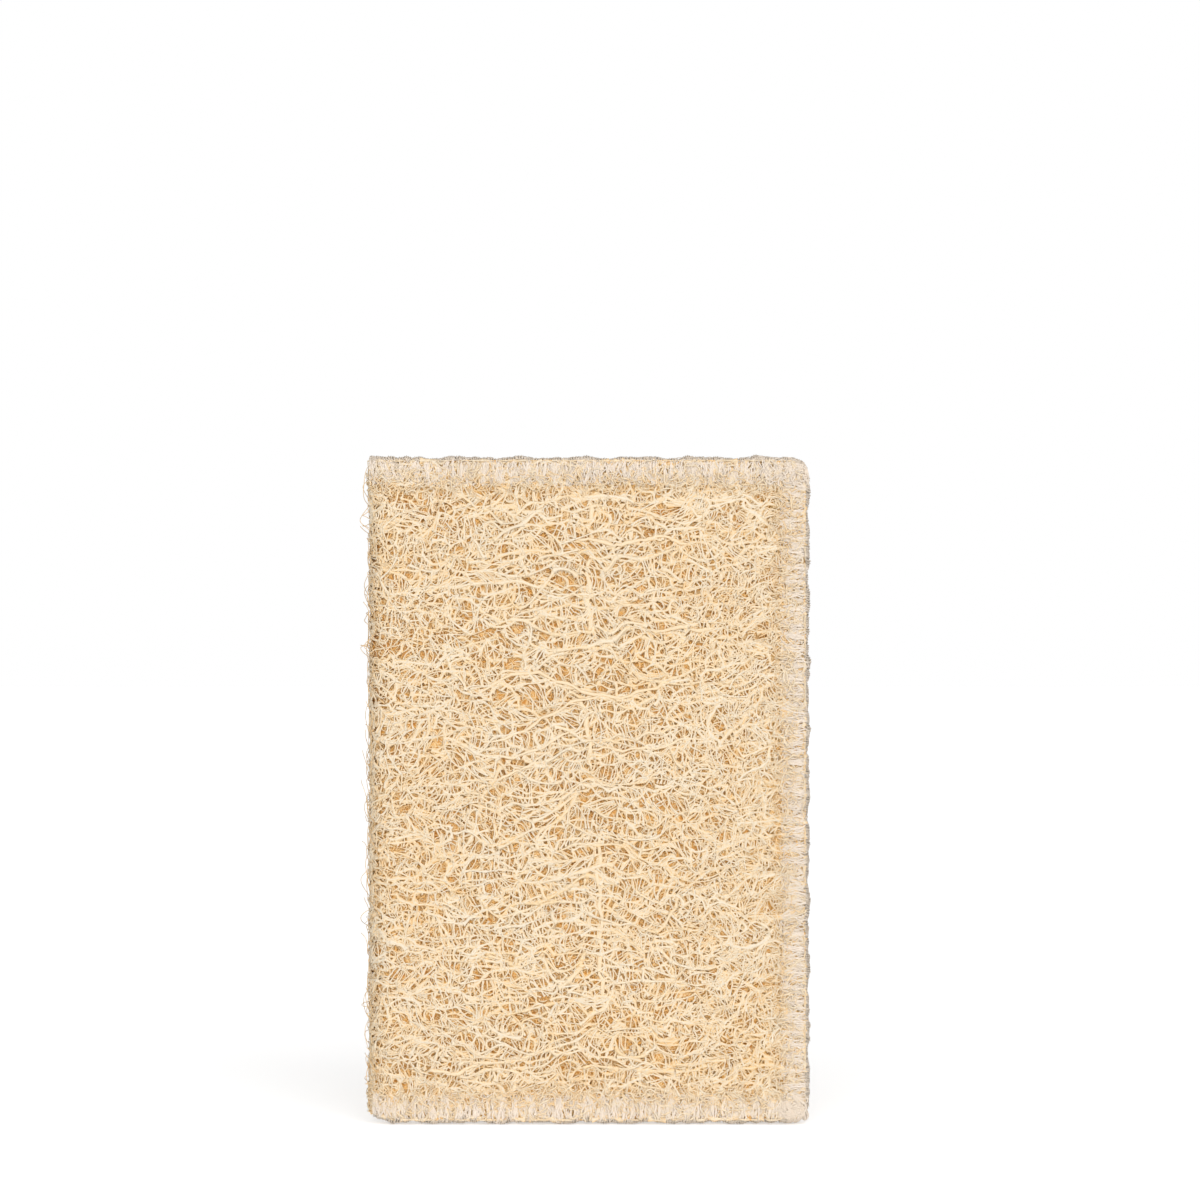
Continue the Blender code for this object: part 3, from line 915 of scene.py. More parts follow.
@dataclass
class FibreDrift:
    """Fine fibres that drift over the sheet: neighbours run alike, and the runs turn about.

    Lengths are millimetres, and angles are degrees from level. cover is how many fibres lie one
    over another. likely gives the share of the fibres that grow at a place; without it they
    grow everywhere.
    """

    sheet: FoldedSheet
    label: str
    face: Face
    seed: int
    cover: float
    run: float
    rings: int
    thickness: float
    bearing: float
    swing: float
    swirl_length: float
    low: float
    high: float
    seam_lift: float
    depths: tuple[float, float] = (0.78, 1.05)
    droop: float = 0.3
    curl: float = 14.0
    seam_spread: float = 0.5
    own: float = 16.0
    second_swing: float = 0.35
    taper: float = 0.3
    vary: float = 0.22
    flatness: float = 0.85
    painted_foot_shade: float = 0.5
    likely: Callable[[Array, Array], Array] | None = None

    def starts(self, rng: np.random.Generator) -> tuple[Array, Array]:
        """Spread the fibres' first places evenly, with jitter.

        Args:
            rng: the seeded source of random draws.

        Returns:
            Their u and v.
        """
        half = self.sheet.length / 2
        first = 0.0 if self.face is Face.FRONT else half
        step = math.sqrt(self.run / self.cover)
        rows = np.arange(self.sheet.z_low, self.sheet.z_high, step)
        u, v = (a.ravel() for a in np.meshgrid(np.arange(first, first + half, step), rows))
        u, v = u + rng.uniform(0, step, u.shape), v + rng.uniform(0, step, v.shape)
        if self.likely is None:
            return u, v
        stays = rng.random(len(u)) < self.likely(u, v)
        return u[stays], v[stays]

    def build(self) -> Strands:
        """Lay the fibres on their face.

        Returns:
            The fibres as tubes.
        """
        sheet, rng = self.sheet, np.random.default_rng(self.seed)
        turn, twist = WaveField(rng, self.swirl_length), WaveField(rng, self.swirl_length * 0.4)
        wave = WaveField(rng, 6.0)
        u, v = self.starts(rng)
        count = len(u)
        way = np.where(rng.random(count) < 0.5, -1.0, 1.0)
        step = self.run / (self.rings - 1) * rng.uniform(0.6, 1.4, count) * way
        own = rng.normal(0.0, self.own, count)
        curl = rng.normal(0.0, self.curl, count)
        path = [(u, v)]
        for ring in range(1, self.rings):
            angle = self.bearing + self.swing * (turn.at(u, v) + self.second_swing * twist.at(u, v))
            angle = np.radians(angle + own + curl * ring)
            u, v = u + step * np.cos(angle), v + step * np.sin(angle)
            path.append((u, v))
        u, v = (np.clip(np.stack(a, axis=1), *ends) for a, ends in zip(zip(*path), zip(*sheet.limits())))
        t = np.linspace(-1.0, 1.0, self.rings)[None, :]
        level = np.clip(0.5 + 0.2 * wave.at(u, v) + rng.uniform(-0.45, 0.45, (count, 1)), 0, 1)
        share = sheet.field_share(u, v)
        lift = blend(self.low, self.high, level) * blend(SEWN_FLAT, 1.0, share)
        lift = lift + (self.seam_lift + self.seam_spread * (level - 0.5)) * (1 - share)
        centres, out = sheet.place(u, v, lift - self.droop * t * t)
        size = np.exp(self.vary * rng.standard_normal((count, 1)))
        taper = self.taper * t * t
        width = self.thickness / 2 * size * (1 - taper)
        strands = Strands(self.painted_foot_shade)
        # low fibres and their drooping ends are painted darker: painted shade
        depth = blend(*self.depths, level - taper)
        strands.add(centres, out, width, self.flatness, 3, depth, shades(rng, count))
        return strands


@dataclass
class LooseHairs:
    """Fine fibres that have come loose along the fold and stand off it in loops.

    Lengths are millimetres. Some are loose at one end only.
    """

    sheet: FoldedSheet
    seed: int = 71
    count: int = 150
    rings: int = 11
    thickness: float = 0.16
    spread: float = 2.6
    span: tuple[float, float] = (1.5, 9.0)
    bow: float = 1.4
    stand: float = 0.3
    highest: float = 1.9
    one_ended: float = 0.35
    lean: float = 0.7
    clear_low: float = 8.0
    clear_high: float = 2.0
    depth: float = 0.6

    def build(self) -> Strands:
        """Lay the loops along the fold.

        Returns:
            The loops as tubes.
        """
        rng = np.random.default_rng(self.seed)
        sheet, one_each = self.sheet, (self.count, 1)
        t = np.linspace(0.0, 1.0, self.rings)[None, :]
        u = sheet.length / 2 + rng.normal(0.0, self.spread, one_each)
        v = rng.uniform(self.clear_low, sheet.z_high - self.clear_high, one_each)
        span = rng.uniform(*self.span, one_each)
        angle = rng.normal(math.pi / 2, self.lean, one_each)
        bow = rng.normal(0.0, self.bow, one_each)
        u = u + span * (t - 0.5) * np.cos(angle) + bow * np.sin(math.pi * t)
        v = v + span * (t - 0.5) * np.sin(angle) + 0.4 * np.sin(5 * t + bow)
        loose = rng.random(one_each) < self.one_ended
        rise = self.stand + self.highest * rng.uniform(0.0, 1.0, one_each) ** 3
        lift = self.stand + rise * np.where(loose, t ** 1.5, np.sin(math.pi * t))
        centres, out = sheet.place(u, np.clip(v, sheet.z_low, sheet.z_high), lift)
        strands = Strands()
        tone = rng.uniform(-1, 1, self.count)
        strands.add(centres, out, self.thickness / 2, 1.0, 3, self.depth, tone, closed=True)
        return strands


@dataclass
class BoldStrand:
    """One thick strand that stands out of the net, through a few places in front of the pad."""

    through: Places
    thickness: float
    lift: float = 0.28
    back: bool = False
    rings: int = 26
    smoothing: int = 4
    wobble: float = 0.3
    uneven: float = 0.1
    flatness: float = 0.4
    depth: float = 0.84
    tone: float = 0.3

    def add_to(self, strands: Strands, sheet: FoldedSheet, rng: np.random.Generator) -> None:
        """Lay the strand on the sheet.

        Args:
            strands: the lot that it joins.
            sheet: the surface that it lies on.
            rng: the seeded source of random draws.
        """
        x, z = (np.array(part) for part in zip(*self.through))
        lengths = np.concatenate([[0.0], np.cumsum(np.hypot(np.diff(x), np.diff(z)))])
        at = np.linspace(0.0, lengths[-1], self.rings)
        x, z = np.interp(at, lengths, x), np.interp(at, lengths, z)
        for line, beat in ((x, 0.9), (z, 0.8)):
            for _ in range(self.smoothing):
                line[1:-1] = (line[:-2] + 2 * line[1:-1] + line[2:]) / 4
            line += self.wobble * np.sin(at * beat + rng.uniform(0, 6))
            line += self.uneven * rng.standard_normal(self.rings)
        u = sheet.x_edge - x
        t = np.linspace(-1.0, 1.0, self.rings)
        lift = self.lift * (1 - t ** 6) + self.uneven * np.sin(at * 1.3)
        centres, out = sheet.place(sheet.length - u if self.back else u, z, lift)
        width = self.thickness * 0.43 * (1 - 0.55 * t ** 8) * (1 + 0.22 * np.sin(at * 1.1 + 1.0))
        tone = np.array([self.tone])
        strands.add(centres[None], out[None], width, self.flatness, 8, self.depth, tone, closed=True)


FRONT_RIB: tuple[Places, ...] = (
    ((-0.4, 143.5), (0.5, 139.0), (0.7, 133.7)),
    ((0.2, 127.0), (0.0, 118.0), (0.7, 109.0)),
    ((-1.6, 95.5), (-0.3, 92.0), (0.3, 86.0), (0.7, 79.8)),
    ((2.9, 66.3), (2.2, 56.0), (3.2, 46.0), (2.6, 36.0), (4.0, 25.9)),
)
FRONT_CROSSING: tuple[tuple[Places, float], ...] = (
    (((-2.7, 131.5), (7.4, 129.7), (15.3, 131.9), (23.1, 130.1)), 0.95),
    (((13.7, 110.6), (20.5, 111.4), (28.0, 110.8)), 0.95),
    (((-35.3, 12.2), (-28.5, 11.8), (-25.0, 13.6)), 1.0),
    (((-26.3, 95.5), (-19.6, 100.0), (-15.1, 102.2), (-9.4, 101.0), (-5.0, 98.7), (0.7, 96.8),
      (6.7, 95.1), (14.2, 97.8), (23.1, 101.8)), 0.85),
    (((-24.0, 86.1), (-18.4, 86.3), (-12.8, 89.5), (-7.0, 92.8), (-1.6, 95.7), (5.6, 96.2)), 0.75),
    (((-24.0, 82.7), (-15.1, 82.5), (-8.8, 85.4), (-2.7, 89.2)), 0.7),
    (((0.7, 84.3), (11.9, 84.3), (17.5, 84.8), (23.1, 87.7)), 0.7),
    (((-24.0, 77.1), (-18.4, 78.0), (-12.8, 80.9), (-8.3, 83.8)), 0.7),
)
BACK_BOLD: tuple[tuple[Places, float], ...] = (
    (((-2.5, 137.0), (-1.6, 120.0), (-2.4, 104.0)), 1.2),
    (((-2.2, 88.0), (-1.2, 70.0), (-2.6, 52.0), (-1.8, 34.0)), 1.2),
    (((-22.0, 96.0), (-10.0, 92.0), (2.0, 93.5), (16.0, 90.0)), 1.0),
)


@dataclass
class LoofahSheet:
    """The folded loofah sheet: a coarse net, a finer one, drifting fibres, and the mat inside."""

    sheet: FoldedSheet
    rib_thickness: float = 1.15
    bold_seed: int = 61
    mat_seed: int = 31
    mat_grid: float = 2.0
    mat_inset: float = 0.2
    mat_lift: float = -0.6
    mat_seam_lift: float = -0.1
    mat_rough: tuple[tuple[float, float], ...] = ((0.16, 6.0), (0.1, 3.6))

    def coarse(self) -> FibreNet:
        """The long cream strands on top, in almond-shaped cells."""
        return FibreNet(
            self.sheet, 21, cell=3.1, stretch=2.6, thickness=0.53, flatness=0.36, vary=0.36,
            low=0.02, high=0.26, rings=6, sides=5, swirl=0.46, swirl_length=14.0, sag=4.6,
            seam_lift=0.15, lost=0.13, grooves=0.45, depths=(0.76, 0.97), look=self.coarse_look,
        )

    def middle(self) -> FibreNet:
        """The thinner net between them."""
        return FibreNet(
            self.sheet, 22, cell=2.3, stretch=1.9, thickness=0.50, flatness=0.5, vary=0.26,
            low=-0.12, high=0.2, rings=4, sides=3, swirl=0.5, swirl_length=9.0, sag=2.0,
            seam_lift=0.25, lost=0.2, depths=(0.84, 1.04),
        )

    def drifts(self, face: Face, seed: int, cover: float) -> list[FibreDrift]:
        """The fine fibres of one face.

        Args:
            face: which half of the sheet they lie on.
            seed: the first layer's seed.
            cover: the first layer's cover.

        Returns:
            Rungs by the strands, a matted layer behind them, curls at the sides, and tips at
            the sewn edges.
        """
        rungs = dict(
            run=4.0, rings=5, thickness=0.34, bearing=70.0, swing=56.0, swirl_length=8.0,
            low=-0.25, high=0.28, depths=(0.78, 1.1), curl=24.0, seam_lift=0.42, seam_spread=0.75,
        )
        # the layer behind the rungs is painted darker through its low depths: painted shade
        under = dict(
            run=5.0, rings=4, thickness=0.38, bearing=-8.0, swing=56.0, swirl_length=8.0,
            low=-0.5, high=-0.15, depths=(0.36, 0.74), seam_lift=0.2,
        )
        curls = dict(
            run=3.6, rings=6, thickness=0.34, bearing=40.0, swing=70.0, swirl_length=10.0, low=0.0,
            high=0.32, curl=30.0, seam_lift=0.2, seam_spread=0.55, likely=self.side_share,
        )
        tips = dict(
            run=2.6, rings=5, thickness=0.30, bearing=20.0, swing=80.0, swirl_length=6.0, low=0.0,
            high=0.5, curl=26.0, seam_lift=0.62, droop=0.15, likely=self.edge_share,
        )
        layers = (("rungs", 1.0, rungs), ("under", 1.25, under), ("curls", 1.2, curls), ("tips", 1.4, tips))
        return [
            FibreDrift(self.sheet, f"{label}_{face.value}", face, seed + at, part * cover, **settings)
            for at, (label, part, settings) in enumerate(layers)
        ]

    def side_share(self, u: Array, _: Array) -> Array:
        """How much of the net is curls: none beside the ribs, all out at the sides."""
        away, most = self.sheet.from_rib(u, 1.0, 0.4)
        return smooth_step(away, 14.0, 18.0) * most

    def edge_share(self, u: Array, v: Array) -> Array:
        """Where fibre tips stick through the thread: along its inner half and just inside it."""
        across = np.minimum.reduce([u, self.sheet.length - u, v - self.sheet.z_low, self.sheet.z_high - v])
        return smooth_step(across, 0.8, 3.0) * (1 - smooth_step(across, 6.5, 3.0))

    def coarse_look(self, u: Array) -> Array:
        """The coarse strands are thickest beside the ribs, and thin out towards the seams."""
        away, reach = self.sheet.from_rib(u, 24.0, 34.0)
        return 0.42 + 0.60 * np.exp(-((away / reach) ** 4))

    def bold(self) -> list[BoldStrand]:
        """List the boldest strands.

        Returns:
            The ribs, which run up the middle in pieces, and the thick cross strands.
        """
        ribs = [BoldStrand(places, self.rib_thickness, lift=0.0) for places in FRONT_RIB]
        crossing = [BoldStrand(places, thickness) for places, thickness in FRONT_CROSSING]
        return ribs + crossing + [BoldStrand(places, thick, back=True) for places, thick in BACK_BOLD]

    def mat(self) -> Strands:
        """Lay the matted fibres behind the net.

        Returns:
            Their surface, closed round the cut edges.
        """
        sheet, inset = self.sheet, self.mat_inset
        across = round(sheet.length / self.mat_grid / 2) * 2
        up = round((sheet.z_high - sheet.z_low) / self.mat_grid)
        u, v = np.meshgrid(
            np.linspace(inset, sheet.length - inset, across + 1),
            np.linspace(sheet.z_low + inset, sheet.z_high - inset, up + 1),
        )
        rng = np.random.default_rng(self.mat_seed)
        rough = sum(height * WaveField(rng, length).at(u, v) for height, length in self.mat_rough)
        share = sheet.field_share(u, v)
        lift = blend(self.mat_seam_lift, self.mat_lift, share) + rough * (0.3 + 0.7 * share)
        points, _ = sheet.place(u, v, lift)
        row = np.arange(up)[:, None] * (across + 1)
        a = (row + np.arange(across)[None, :]).reshape(-1)
        body = np.stack([a, a + across + 1, a + across + 2, a + 1], axis=-1)
        half = np.arange(across // 2 - 1)
        lid = np.stack([half, half + 1, across - half - 1, across - half], axis=-1)
        top = up * (across + 1)
        side = np.arange(up) * (across + 1)
        wall = np.stack([side, side + across, side + 2 * across + 1, side + across + 1], axis=-1)
        tip = np.array([[across // 2 - 1, across // 2, across // 2 + 1]])
        faces = [body, wall, lid, lid[:, ::-1] + top, tip, tip[:, ::-1] + top]
        mat = Strands()
        mat.add_surface(points.reshape(-1, 3), faces, (1 - share).reshape(-1))
        return mat

    def build(self) -> list[bpy.types.Object]:
        """Build every layer, in place of the solid pad.

        Returns:
            The layers' pieces.
        """
        fibre = LuffaFibre().make()
        coarse = self.coarse().build()
        rng = np.random.default_rng(self.bold_seed)
        for strand in self.bold():
            strand.add_to(coarse, self.sheet, rng)
        layers = {"coarse_net": coarse, "cell_rungs": CellRungs(self.coarse()).build()}
        layers["middle_net"] = self.middle().build()
        for drift in self.drifts(Face.FRONT, 40, 1.6) + self.drifts(Face.BACK, 50, 0.95):
            layers[drift.label] = drift.build()
        layers["loose_fibres"] = LooseHairs(self.sheet).build()
        pieces = [self.mat().make("loofah_matted_fibres", LuffaMat().make(), Slot.FIBRE)]
        pieces += [strands.make(f"loofah_{name}", fibre, Slot.FIBRE) for name, strands in layers.items()]
        for piece in pieces:
            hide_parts(PAD_NODE)
        return pieces


@dataclass
class SeamSection:
    """The thread's way over the edge, from the needle line in front to the one at the back.

    A place on it is a length run from the front needle line, in millimetres.
    """

    half: float
    gap: float = 0.3
    reach: float = 5.9
    radius: float = 1.5
    table: Array = field(init=False)

    def __post_init__(self) -> None:
        """Measure the section once: length run, depth, y, and the outward direction."""
        turn = np.concatenate([np.zeros(5), np.linspace(0.0, math.pi / 2, 9)])
        sunk = self.radius - self.gap
        straight = np.linspace(self.reach - sunk, 0.0, 6)[:-1]
        depth = sunk - self.radius * np.sin(turn) + np.pad(straight, (0, 9))
        y = -self.half - self.gap + self.radius * (1 - np.cos(turn))
        front = np.stack([depth, y, -np.sin(turn), -np.cos(turn)])
        back = front[:, ::-1] * np.array([1, -1, 1, -1])[:, None]
        table = np.concatenate([front, back], axis=1)
        run = np.concatenate([[0.0], np.cumsum(np.hypot(*np.diff(table[:2])))])
        self.table = np.concatenate([run[None], table])

    @property
    def length(self) -> float:
        """The whole way from needle line to needle line."""
        return float(self.table[0, -1])

    @property
    def front_edge(self) -> float:
        """The place where the front starts to turn over the edge."""
        return self.reach - self.radius + self.gap

    def at(self, run: Array, lift: Array) -> tuple[Array, Array, Array, Array]:
        """Depth in from the cut edge, y, and the outward direction's two parts."""
        depth, y, n_depth, n_y = (np.interp(run, self.table[0], row) for row in self.table[1:])
        return depth + n_depth * lift, y + n_y * lift, n_depth, n_y


@dataclass
class OverlockRun:
    """One edge's overlock thread: stitches over the edge, slack loops, needle line and chain.

    Lengths are millimetres. Every method of it adds its threads to the same strands.
    """

    sheet: FoldedSheet
    edge: Edge
    seed: int
    pitch: float = 3.15
    filament: float = 0.30
    per_leg: int = 5
    per_stitch: int = 8
    fuzz_per_mm: float = 5.0
    sides: int = 3
    corner: float = 5.2
    peak: float = 0.7
    first_hole: float = 0.6
    needle_in: float = 0.9
    needle_lift: tuple[float, float] = (-0.3, 0.27)
    chain_in: float = 1.5
    chain_twist: float = 2.1
    chain_step: float = 0.45
    chain_filament: float = 0.46
    crimps: tuple[float, float, float] = (2.1, 3.4, 5.0)
    stitch_lift: float = 0.22
    shortest_by: float = 2.1
    fuzz_filament: float = 0.2
    knot_filament: float = 0.44
    ground_gap: float = 0.36

    def __post_init__(self) -> None:
        """Measure the section and the run's two ends."""
        sheet = self.sheet
        self.rng = np.random.default_rng(self.seed)
        self.strands = Strands()
        self.section = SeamSection(sheet.seam_half)
        self.start = sheet.fold_x - (5.3 if self.edge is Edge.TOP else 4.5)
        self.end = sheet.x_edge + 0.6
        if self.edge is Edge.SIDE:
            self.start, self.end = sheet.z_low + 0.5, sheet.z_high - 0.5

    def even(self, low: float, high: float, count: int) -> Array:
        """Draw one value for each thread, evenly from low to high, as a column."""
        return self.rng.uniform(low, high, (count, 1))

    def bell(self, spread: float, count: int) -> Array:
        """Draw one value for each thread, round 0, as a column."""
        return self.rng.normal(0.0, spread, (count, 1))

    def lay(
        self,
        along: Array,
        run: Array,
        lift: Array,
        width: Array | float,
        depth: Array | float,
        flat: float = 1.0,
        closed: bool = False,
    ) -> None:
        """Lay threads over the edge, each with a shade of its own.

        Args:
            along: how far along the edge.
            run: the length run over the edge's section.
            lift: height off the section.
            width: half a thread's thickness.
            depth: how near the surface the colour takes it to be, 0 to 1; lower is painted
                darker, as painted shade.
            flat: a thread's height over its width.
            closed: whether the thread is round, with closed ends.
        """
        sheet = self.sheet
        along = np.clip(along, self.start, self.end)
        sway = 0.2 * np.sin(along * 0.47 + self.seed) + 0.15 * np.sin(along * 0.83 + 2 * self.seed)
        inward, y, n_inward, n_y = self.section.at(run, lift)
        inward = inward + sway * (1 - np.clip(inward / self.section.reach, 0, 1))
        peak = self.peak * smooth_step(sheet.fold_x - along, 1.0, 5.0)
        if self.edge is Edge.SIDE:
            x, z = sheet.x_edge - inward, along + 0 * inward
            out = np.stack([-n_inward, n_y, 0 * n_y], axis=-1)
        else:
            top = self.edge is Edge.TOP
            x = along + 0 * inward
            z = sheet.z_high - inward + peak if top else sheet.z_low + inward
            out = np.stack([0 * n_y, n_y, -n_inward if top else n_inward], axis=-1)
        narrow = np.clip((sheet.fold_x - x) / (sheet.fold_reach + 0.9), 0.0, 0.97)
        y = y * np.sqrt(1 - narrow * narrow)
        points = sheet.shape_corners(np.stack([x, y, z], axis=-1), self.corner)
        points[..., 2] = np.maximum(points[..., 2], self.ground_gap)
        tone = self.rng.uniform(-1, 1, len(points))
        self.strands.add(points, unit(out), width, flat, self.sides, depth, tone, closed)

    def stitches(self) -> None:
        """The paired threads that go over the edge, each of a few crimped filaments."""
        length = self.section.length
        at = np.arange(self.start + self.first_hole, self.end, self.pitch)
        at = at + self.rng.uniform(-0.18, 0.18, len(at))
        legs = np.repeat(np.stack([at, at], axis=1).ravel(), self.per_leg)[:, None]
        side = np.repeat(np.tile([-1.0, 1.0], len(at)), self.per_leg)[:, None]
        count = len(legs)
        t = np.linspace(0.0, 1.0, 15)[None, :]
        over = np.sin(math.pi * t)
        splay = side * (0.2 + 0.36 * over)
        fray = self.bell(0.5, count) * (0.6 + 0.8 * over)
        crimp = sum(
            self.even(0.07, 0.22, count)
            * np.sin(2 * math.pi * (t * length / size + self.rng.random((count, 1))))
            for size in self.crimps
        )
        wander = self.bell(0.28, count) * np.sin(2 * math.pi * t + self.even(0, 6, count))
        puff = self.even(-0.15, 0.3, count) * over + 0.06 * np.sin(t * 40 + legs)
        puff = puff - 0.5 * np.abs(2 * t - 1) ** 14  # both ends dip into the needle holes
        short = self.rng.uniform(0.0, 1.0, (2, count, 1)) * self.shortest_by
        run = short[0] + t * (length - short[0] - short[1])
        width = self.filament / 2 * self.even(0.8, 1.35, count)
        # puffed-up filaments are painted lighter and ends sunk into the needle holes darker: painted shade
        depth = np.clip(0.55 + 0.5 * puff / 0.3, 0, 1)
        along = legs + splay + fray + crimp + wander
        self.lay(along, run, self.stitch_lift + puff, width, depth, flat=0.85)

    def loops(self) -> None:
        """The slacker threads that slant from one stitch's needle hole to the next one's edge."""
        at = np.repeat(np.arange(self.start + self.first_hole, self.end, self.pitch), self.per_stitch)
        count = len(at)
        at = at[:, None] + self.even(-0.8, 0.8, count)
        t = np.linspace(0.0, 1.0, 6)[None, :]
        way = np.where(self.rng.random((count, 1)) < 0.6, 1.0, -1.0)
        slant = way * self.pitch * self.even(0.4, 1.0, count)
        bow = self.bell(0.45, count) * np.sin(math.pi * t)
        reach = self.section.front_edge + self.even(-0.3, 1.2, count)
        front = blend(self.even(0.0, 1.6, count), reach, t)
        for run in (front, self.section.length - front):
            lift = 0.02 + self.even(-0.1, 0.16, count) + 0.05 * np.sin(9 * t)
            width = self.filament / 2 * self.even(0.8, 1.3, count)
            self.lay(at + slant * t + bow, run, lift, width, 0.45, flat=0.8)

    def needle_line(self) -> None:
        """The straight thread on each face, in short stitches from hole to hole."""
        holes = np.arange(self.start + self.first_hole, self.end - self.pitch, self.pitch)
        at = np.repeat(holes, 2)[:, None]
        t = np.linspace(0.0, 1.0, 6)[None, :]
        lift = self.needle_lift[0] + self.needle_lift[1] * np.sin(math.pi * t)
        for run in (self.needle_in, self.section.length - self.needle_in):
            across = run + self.bell(0.3, len(at)) + 0.12 * np.sin(5 * t + at)
            self.lay(at + self.pitch * t, across, lift, self.filament / 2 * 0.9, 0.5)

    def chain(self) -> None:
        """The ropes of looped thread along the edge, bulging at every stitch. Their undersides,
        and the chain as a whole, are painted darker: painted shade.
        """
        rings = round((self.end - self.start) / self.chain_step)
        along = np.linspace(self.start, self.end, rings)[None, :]
        strand = np.arange(4)[:, None]
        front = self.section.front_edge + self.chain_in
        for middle, twist in ((front, 1.0), (self.section.length - front, -1.0)):
            angle = twist * 2 * math.pi * along / self.chain_twist + strand * math.pi / 2
            angle = angle + 0.5 * np.sin(along * 0.9 + strand)
            bulge = 0.12 * np.cos(2 * math.pi * along / self.pitch) + 0.06 * np.sin(along * 1.7 + strand)
            radius = 0.42 + 0.08 * np.sin(along * 1.3 + 2 * strand)
            across = middle + 1.35 * radius * np.cos(angle) + self.rng.normal(0, 0.04, (4, rings))
            lift = 0.28 + bulge + 0.8 * radius * np.sin(angle)
            # low depth, lowest on each rope's underside, paints the edge grey: painted shade
            depth = np.clip(0.05 + 0.3 * np.sin(angle), 0, 1)
            sideways = 0.25 * np.cos(angle)
            self.lay(along + sideways, across, lift, self.chain_filament / 2, depth, closed=True)

    def fuzz(self) -> None:
        """Short curled ends of filament that stand off the thread."""
        count = round((self.end - self.start) * self.fuzz_per_mm)
        t = np.linspace(0.0, 1.0, 4)[None, :]
        at = self.even(self.start + 0.5, self.end, count)
        run = self.even(0.3, self.section.length - 0.3, count)
        angle = self.even(0, 2 * math.pi, count) + self.bell(1.6, count) * t
        reach = self.even(0.6, 1.9, count) * t
        lift = 0.3 + self.even(-0.1, 0.35, count) * np.sin(math.pi * t)
        along, across = at + reach * np.cos(angle), run + reach * np.sin(angle)
        self.lay(along, across, lift, self.fuzz_filament / 2, 0.6)

    def tangle(self, count: int, inner_x: float) -> None:
        """The thread's turns pile up at a right-hand corner.

        Args:
            count: how many loose turns there are.
            inner_x: how far in from the corner they reach.
        """
        t = np.linspace(0.0, 1.0, 7)[None, :]
        at = self.even(inner_x, 48.6, count)
        run = self.even(0.2, self.section.length, count)
        angle = self.even(0, 2 * math.pi, count) + self.bell(2.4, count) * t
        reach = self.even(1.0, 3.0, count) * t
        along = np.minimum(at + reach * np.cos(angle), 49.2)
        across = np.clip(run + reach * np.sin(angle), 0.0, self.section.length)
        self.lay(along, across, 0.3 + self.even(0.0, 0.3, count), 0.17, 0.55)

    def knots(self) -> None:
        """The two knotted thread ends at the lower right corner."""
        turns = 10
        ring = np.linspace(0, 2 * math.pi, 16)[None, :]
        for x, z, size in ((48.7, 5.2, 1.1), (48.8, 1.9, 1.3)):
            tip = self.even(0, math.pi, turns)
            reach = size * self.even(0.6, 1.0, turns)
            side, depth = reach * np.cos(ring) * np.cos(tip), reach * np.cos(ring) * np.sin(tip)
            height = np.maximum(z + reach * np.sin(ring), 0.4)
            lump = np.stack([x + 0.75 * side, 1.6 * depth, height], axis=-1)
            away = unit(lump - np.array([x, 0.0, z]))
            tone = self.rng.uniform(-1, 1, turns)
            self.strands.add(lump, away, self.knot_filament / 2, 1.0, 4, 0.6, tone, closed=True)

    def build(self, material: bpy.types.Material) -> bpy.types.Object:
        """Build the run, in place of its solid node.

        Args:
            material: the thread's finish.

        Returns:
            The run's one piece.
        """
        for layer in (self.stitches, self.loops, self.needle_line, self.chain, self.fuzz):
            layer()
        if self.edge is Edge.TOP:
            self.tangle(150, 39.0)
        if self.edge is Edge.BOTTOM:
            self.tangle(170, 44.2)
            self.knots()
        piece = self.strands.make(self.edge.value + "_thread", material, Slot.THREAD)
        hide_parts(self.edge.value)
        return piece


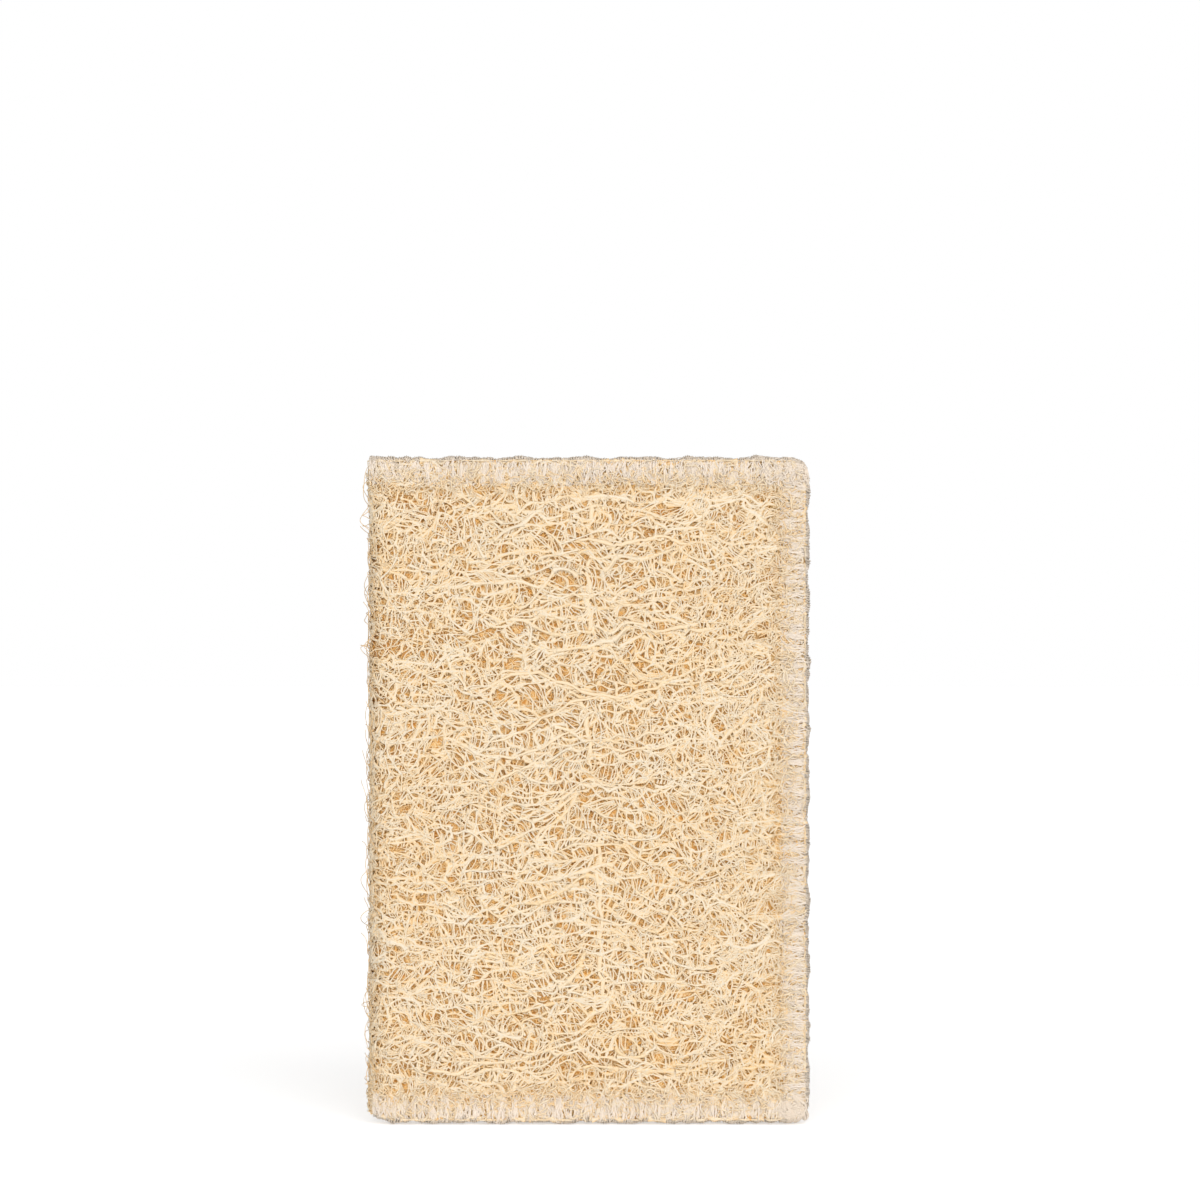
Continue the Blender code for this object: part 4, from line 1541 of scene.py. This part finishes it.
@dataclass
class Studio:
    """A white ground, soft white light from all round, and the camera in front."""

    sheet: FoldedSheet
    scale_px_per_mm: float = 4.477
    camera_distance: float = 800.0
    camera_height: float = 117.6
    camera_x: float = 2.75
    image_px: float = 1200.0
    sensor: float = 36.0
    ground_reach_m: float = 4.0
    sun_strength: float = 1.25
    sun_from: tuple[float, float, float] = (0.20, -0.93, 0.44)
    sun_angle: float = 70.0
    front_light: float = 1.22
    side_light: float = 0.15
    back_light: float = 0.62
    floor_glow: float = 0.45
    floor_bounce: float = 0.24

    def build_ground(self) -> bpy.types.Object:
        """Lay a sheet of matt white acrylic, lit a little from below.

        It glows more for the camera, so that it goes pure white without lighting the pad's foot.

        Returns:
            The ground.
        """
        mesh = bpy.data.meshes.new("ground")
        reach = self.ground_reach_m
        corners = [(-reach, -reach, 0), (reach, -reach, 0), (reach, reach, 0), (-reach, reach, 0)]
        mesh.from_pydata(corners, [], [(0, 1, 2, 3)])
        material = bpy.data.materials.new("acrylic_sheet_white_matt")
        bench = NodeBench(material)
        seen = bench.add("LightPath").outputs["Is Camera Ray"]
        more = self.floor_glow - self.floor_bounce
        glow = bench.add("Math", {"operation": "MULTIPLY_ADD"}, _0=seen, _1=more, _2=self.floor_bounce)
        bench.feed(bench.shader, Base_Color=linear("FAFAFA"), Roughness=0.9, Specular_IOR_Level=0.1)
        bench.feed(bench.shader, Emission_Color=linear("FFFFFF"), Emission_Strength=glow)
        mesh.materials.append(material)
        ground = bpy.data.objects.new("ground", mesh)
        bpy.context.scene.collection.objects.link(ground)
        return ground

    def build_sun(self) -> None:
        """A large soft lamp in front, high and a little to the right, that lights evenly."""
        data = bpy.data.lights.new("key_softbox", "SUN")
        data.energy = self.sun_strength
        data.angle = math.radians(self.sun_angle)
        light = bpy.data.objects.new("key_softbox", data)
        light.rotation_euler = Vector(self.sun_from).to_track_quat("Z", "Y").to_euler()
        bpy.context.scene.collection.objects.link(light)

    def build_world(self) -> None:
        """A white room: bright in front of the pad, less so behind it, dim at its sides.

        The camera sees it as pure white.
        """
        world = bpy.data.worlds.new("white_room")
        bench = NodeBench(world, "Background")
        where = bench.add("TexCoord").outputs["Generated"]
        y = bench.add("SeparateXYZ", _0=where).outputs["Y"]
        front = bench.add("MapRange", _0=y, _1=-0.8, _2=-0.12, _3=self.front_light, _4=self.side_light)
        back = bench.add("MapRange", _0=y, _1=0.12, _2=0.8, _3=0.0, _4=self.back_light - self.side_light)
        light = bench.add("Math", {"operation": "ADD"}, _0=front, _1=back)
        seen = bench.add("LightPath").outputs["Is Camera Ray"]
        paper = bench.add("Mix", _0=seen, _2=light, _3=1.0)
        bench.feed(bench.shader, Color=linear("FFFFFF"), Strength=paper)
        bpy.context.scene.world = world

    def build_camera(self) -> None:
        """A level camera with a long lens, in front of the pad."""
        data = bpy.data.cameras.new("camera")
        data.sensor_width = self.sensor
        data.lens = self.scale_px_per_mm * self.camera_distance / self.image_px * self.sensor
        data.clip_end = 20.0
        camera = bpy.data.objects.new("camera", data)
        away = self.camera_distance + self.sheet.field_half
        camera.location = Vector((self.camera_x, -away, self.camera_height)) * MM
        camera.rotation_euler = (math.pi / 2, 0.0, 0.0)
        bpy.context.scene.collection.objects.link(camera)
        bpy.context.scene.camera = camera

    def build(self) -> bpy.types.Object:
        """Set up the whole studio.

        Returns:
            Its one piece, the ground.
        """
        self.build_camera()
        self.build_world()
        self.build_sun()
        bpy.context.scene.view_settings.view_transform = "Standard"
        return self.build_ground()


def main() -> None:
    """Build the pad's pieces and the studio, and report each."""
    logging.basicConfig(level=logging.INFO, format="%(name)s: %(message)s")
    low, high = CAD_BOX
    sheet = FoldedSheet(width=PAD_WIDTH, height=(high.z - low.z) / MM)
    pieces = [Studio(sheet).build(), *LoofahSheet(sheet).build()]
    thread = WoollyThread().make()
    for seed, edge in enumerate(Edge, start=81):
        pieces.append(OverlockRun(sheet, edge, seed).build(thread))
    for piece in pieces:
        triangles = len(piece.data.loops) - 2 * len(piece.data.polygons)
        log.info("%s: %d triangles", piece.name, triangles)


if __name__ == "__main__":
    main()
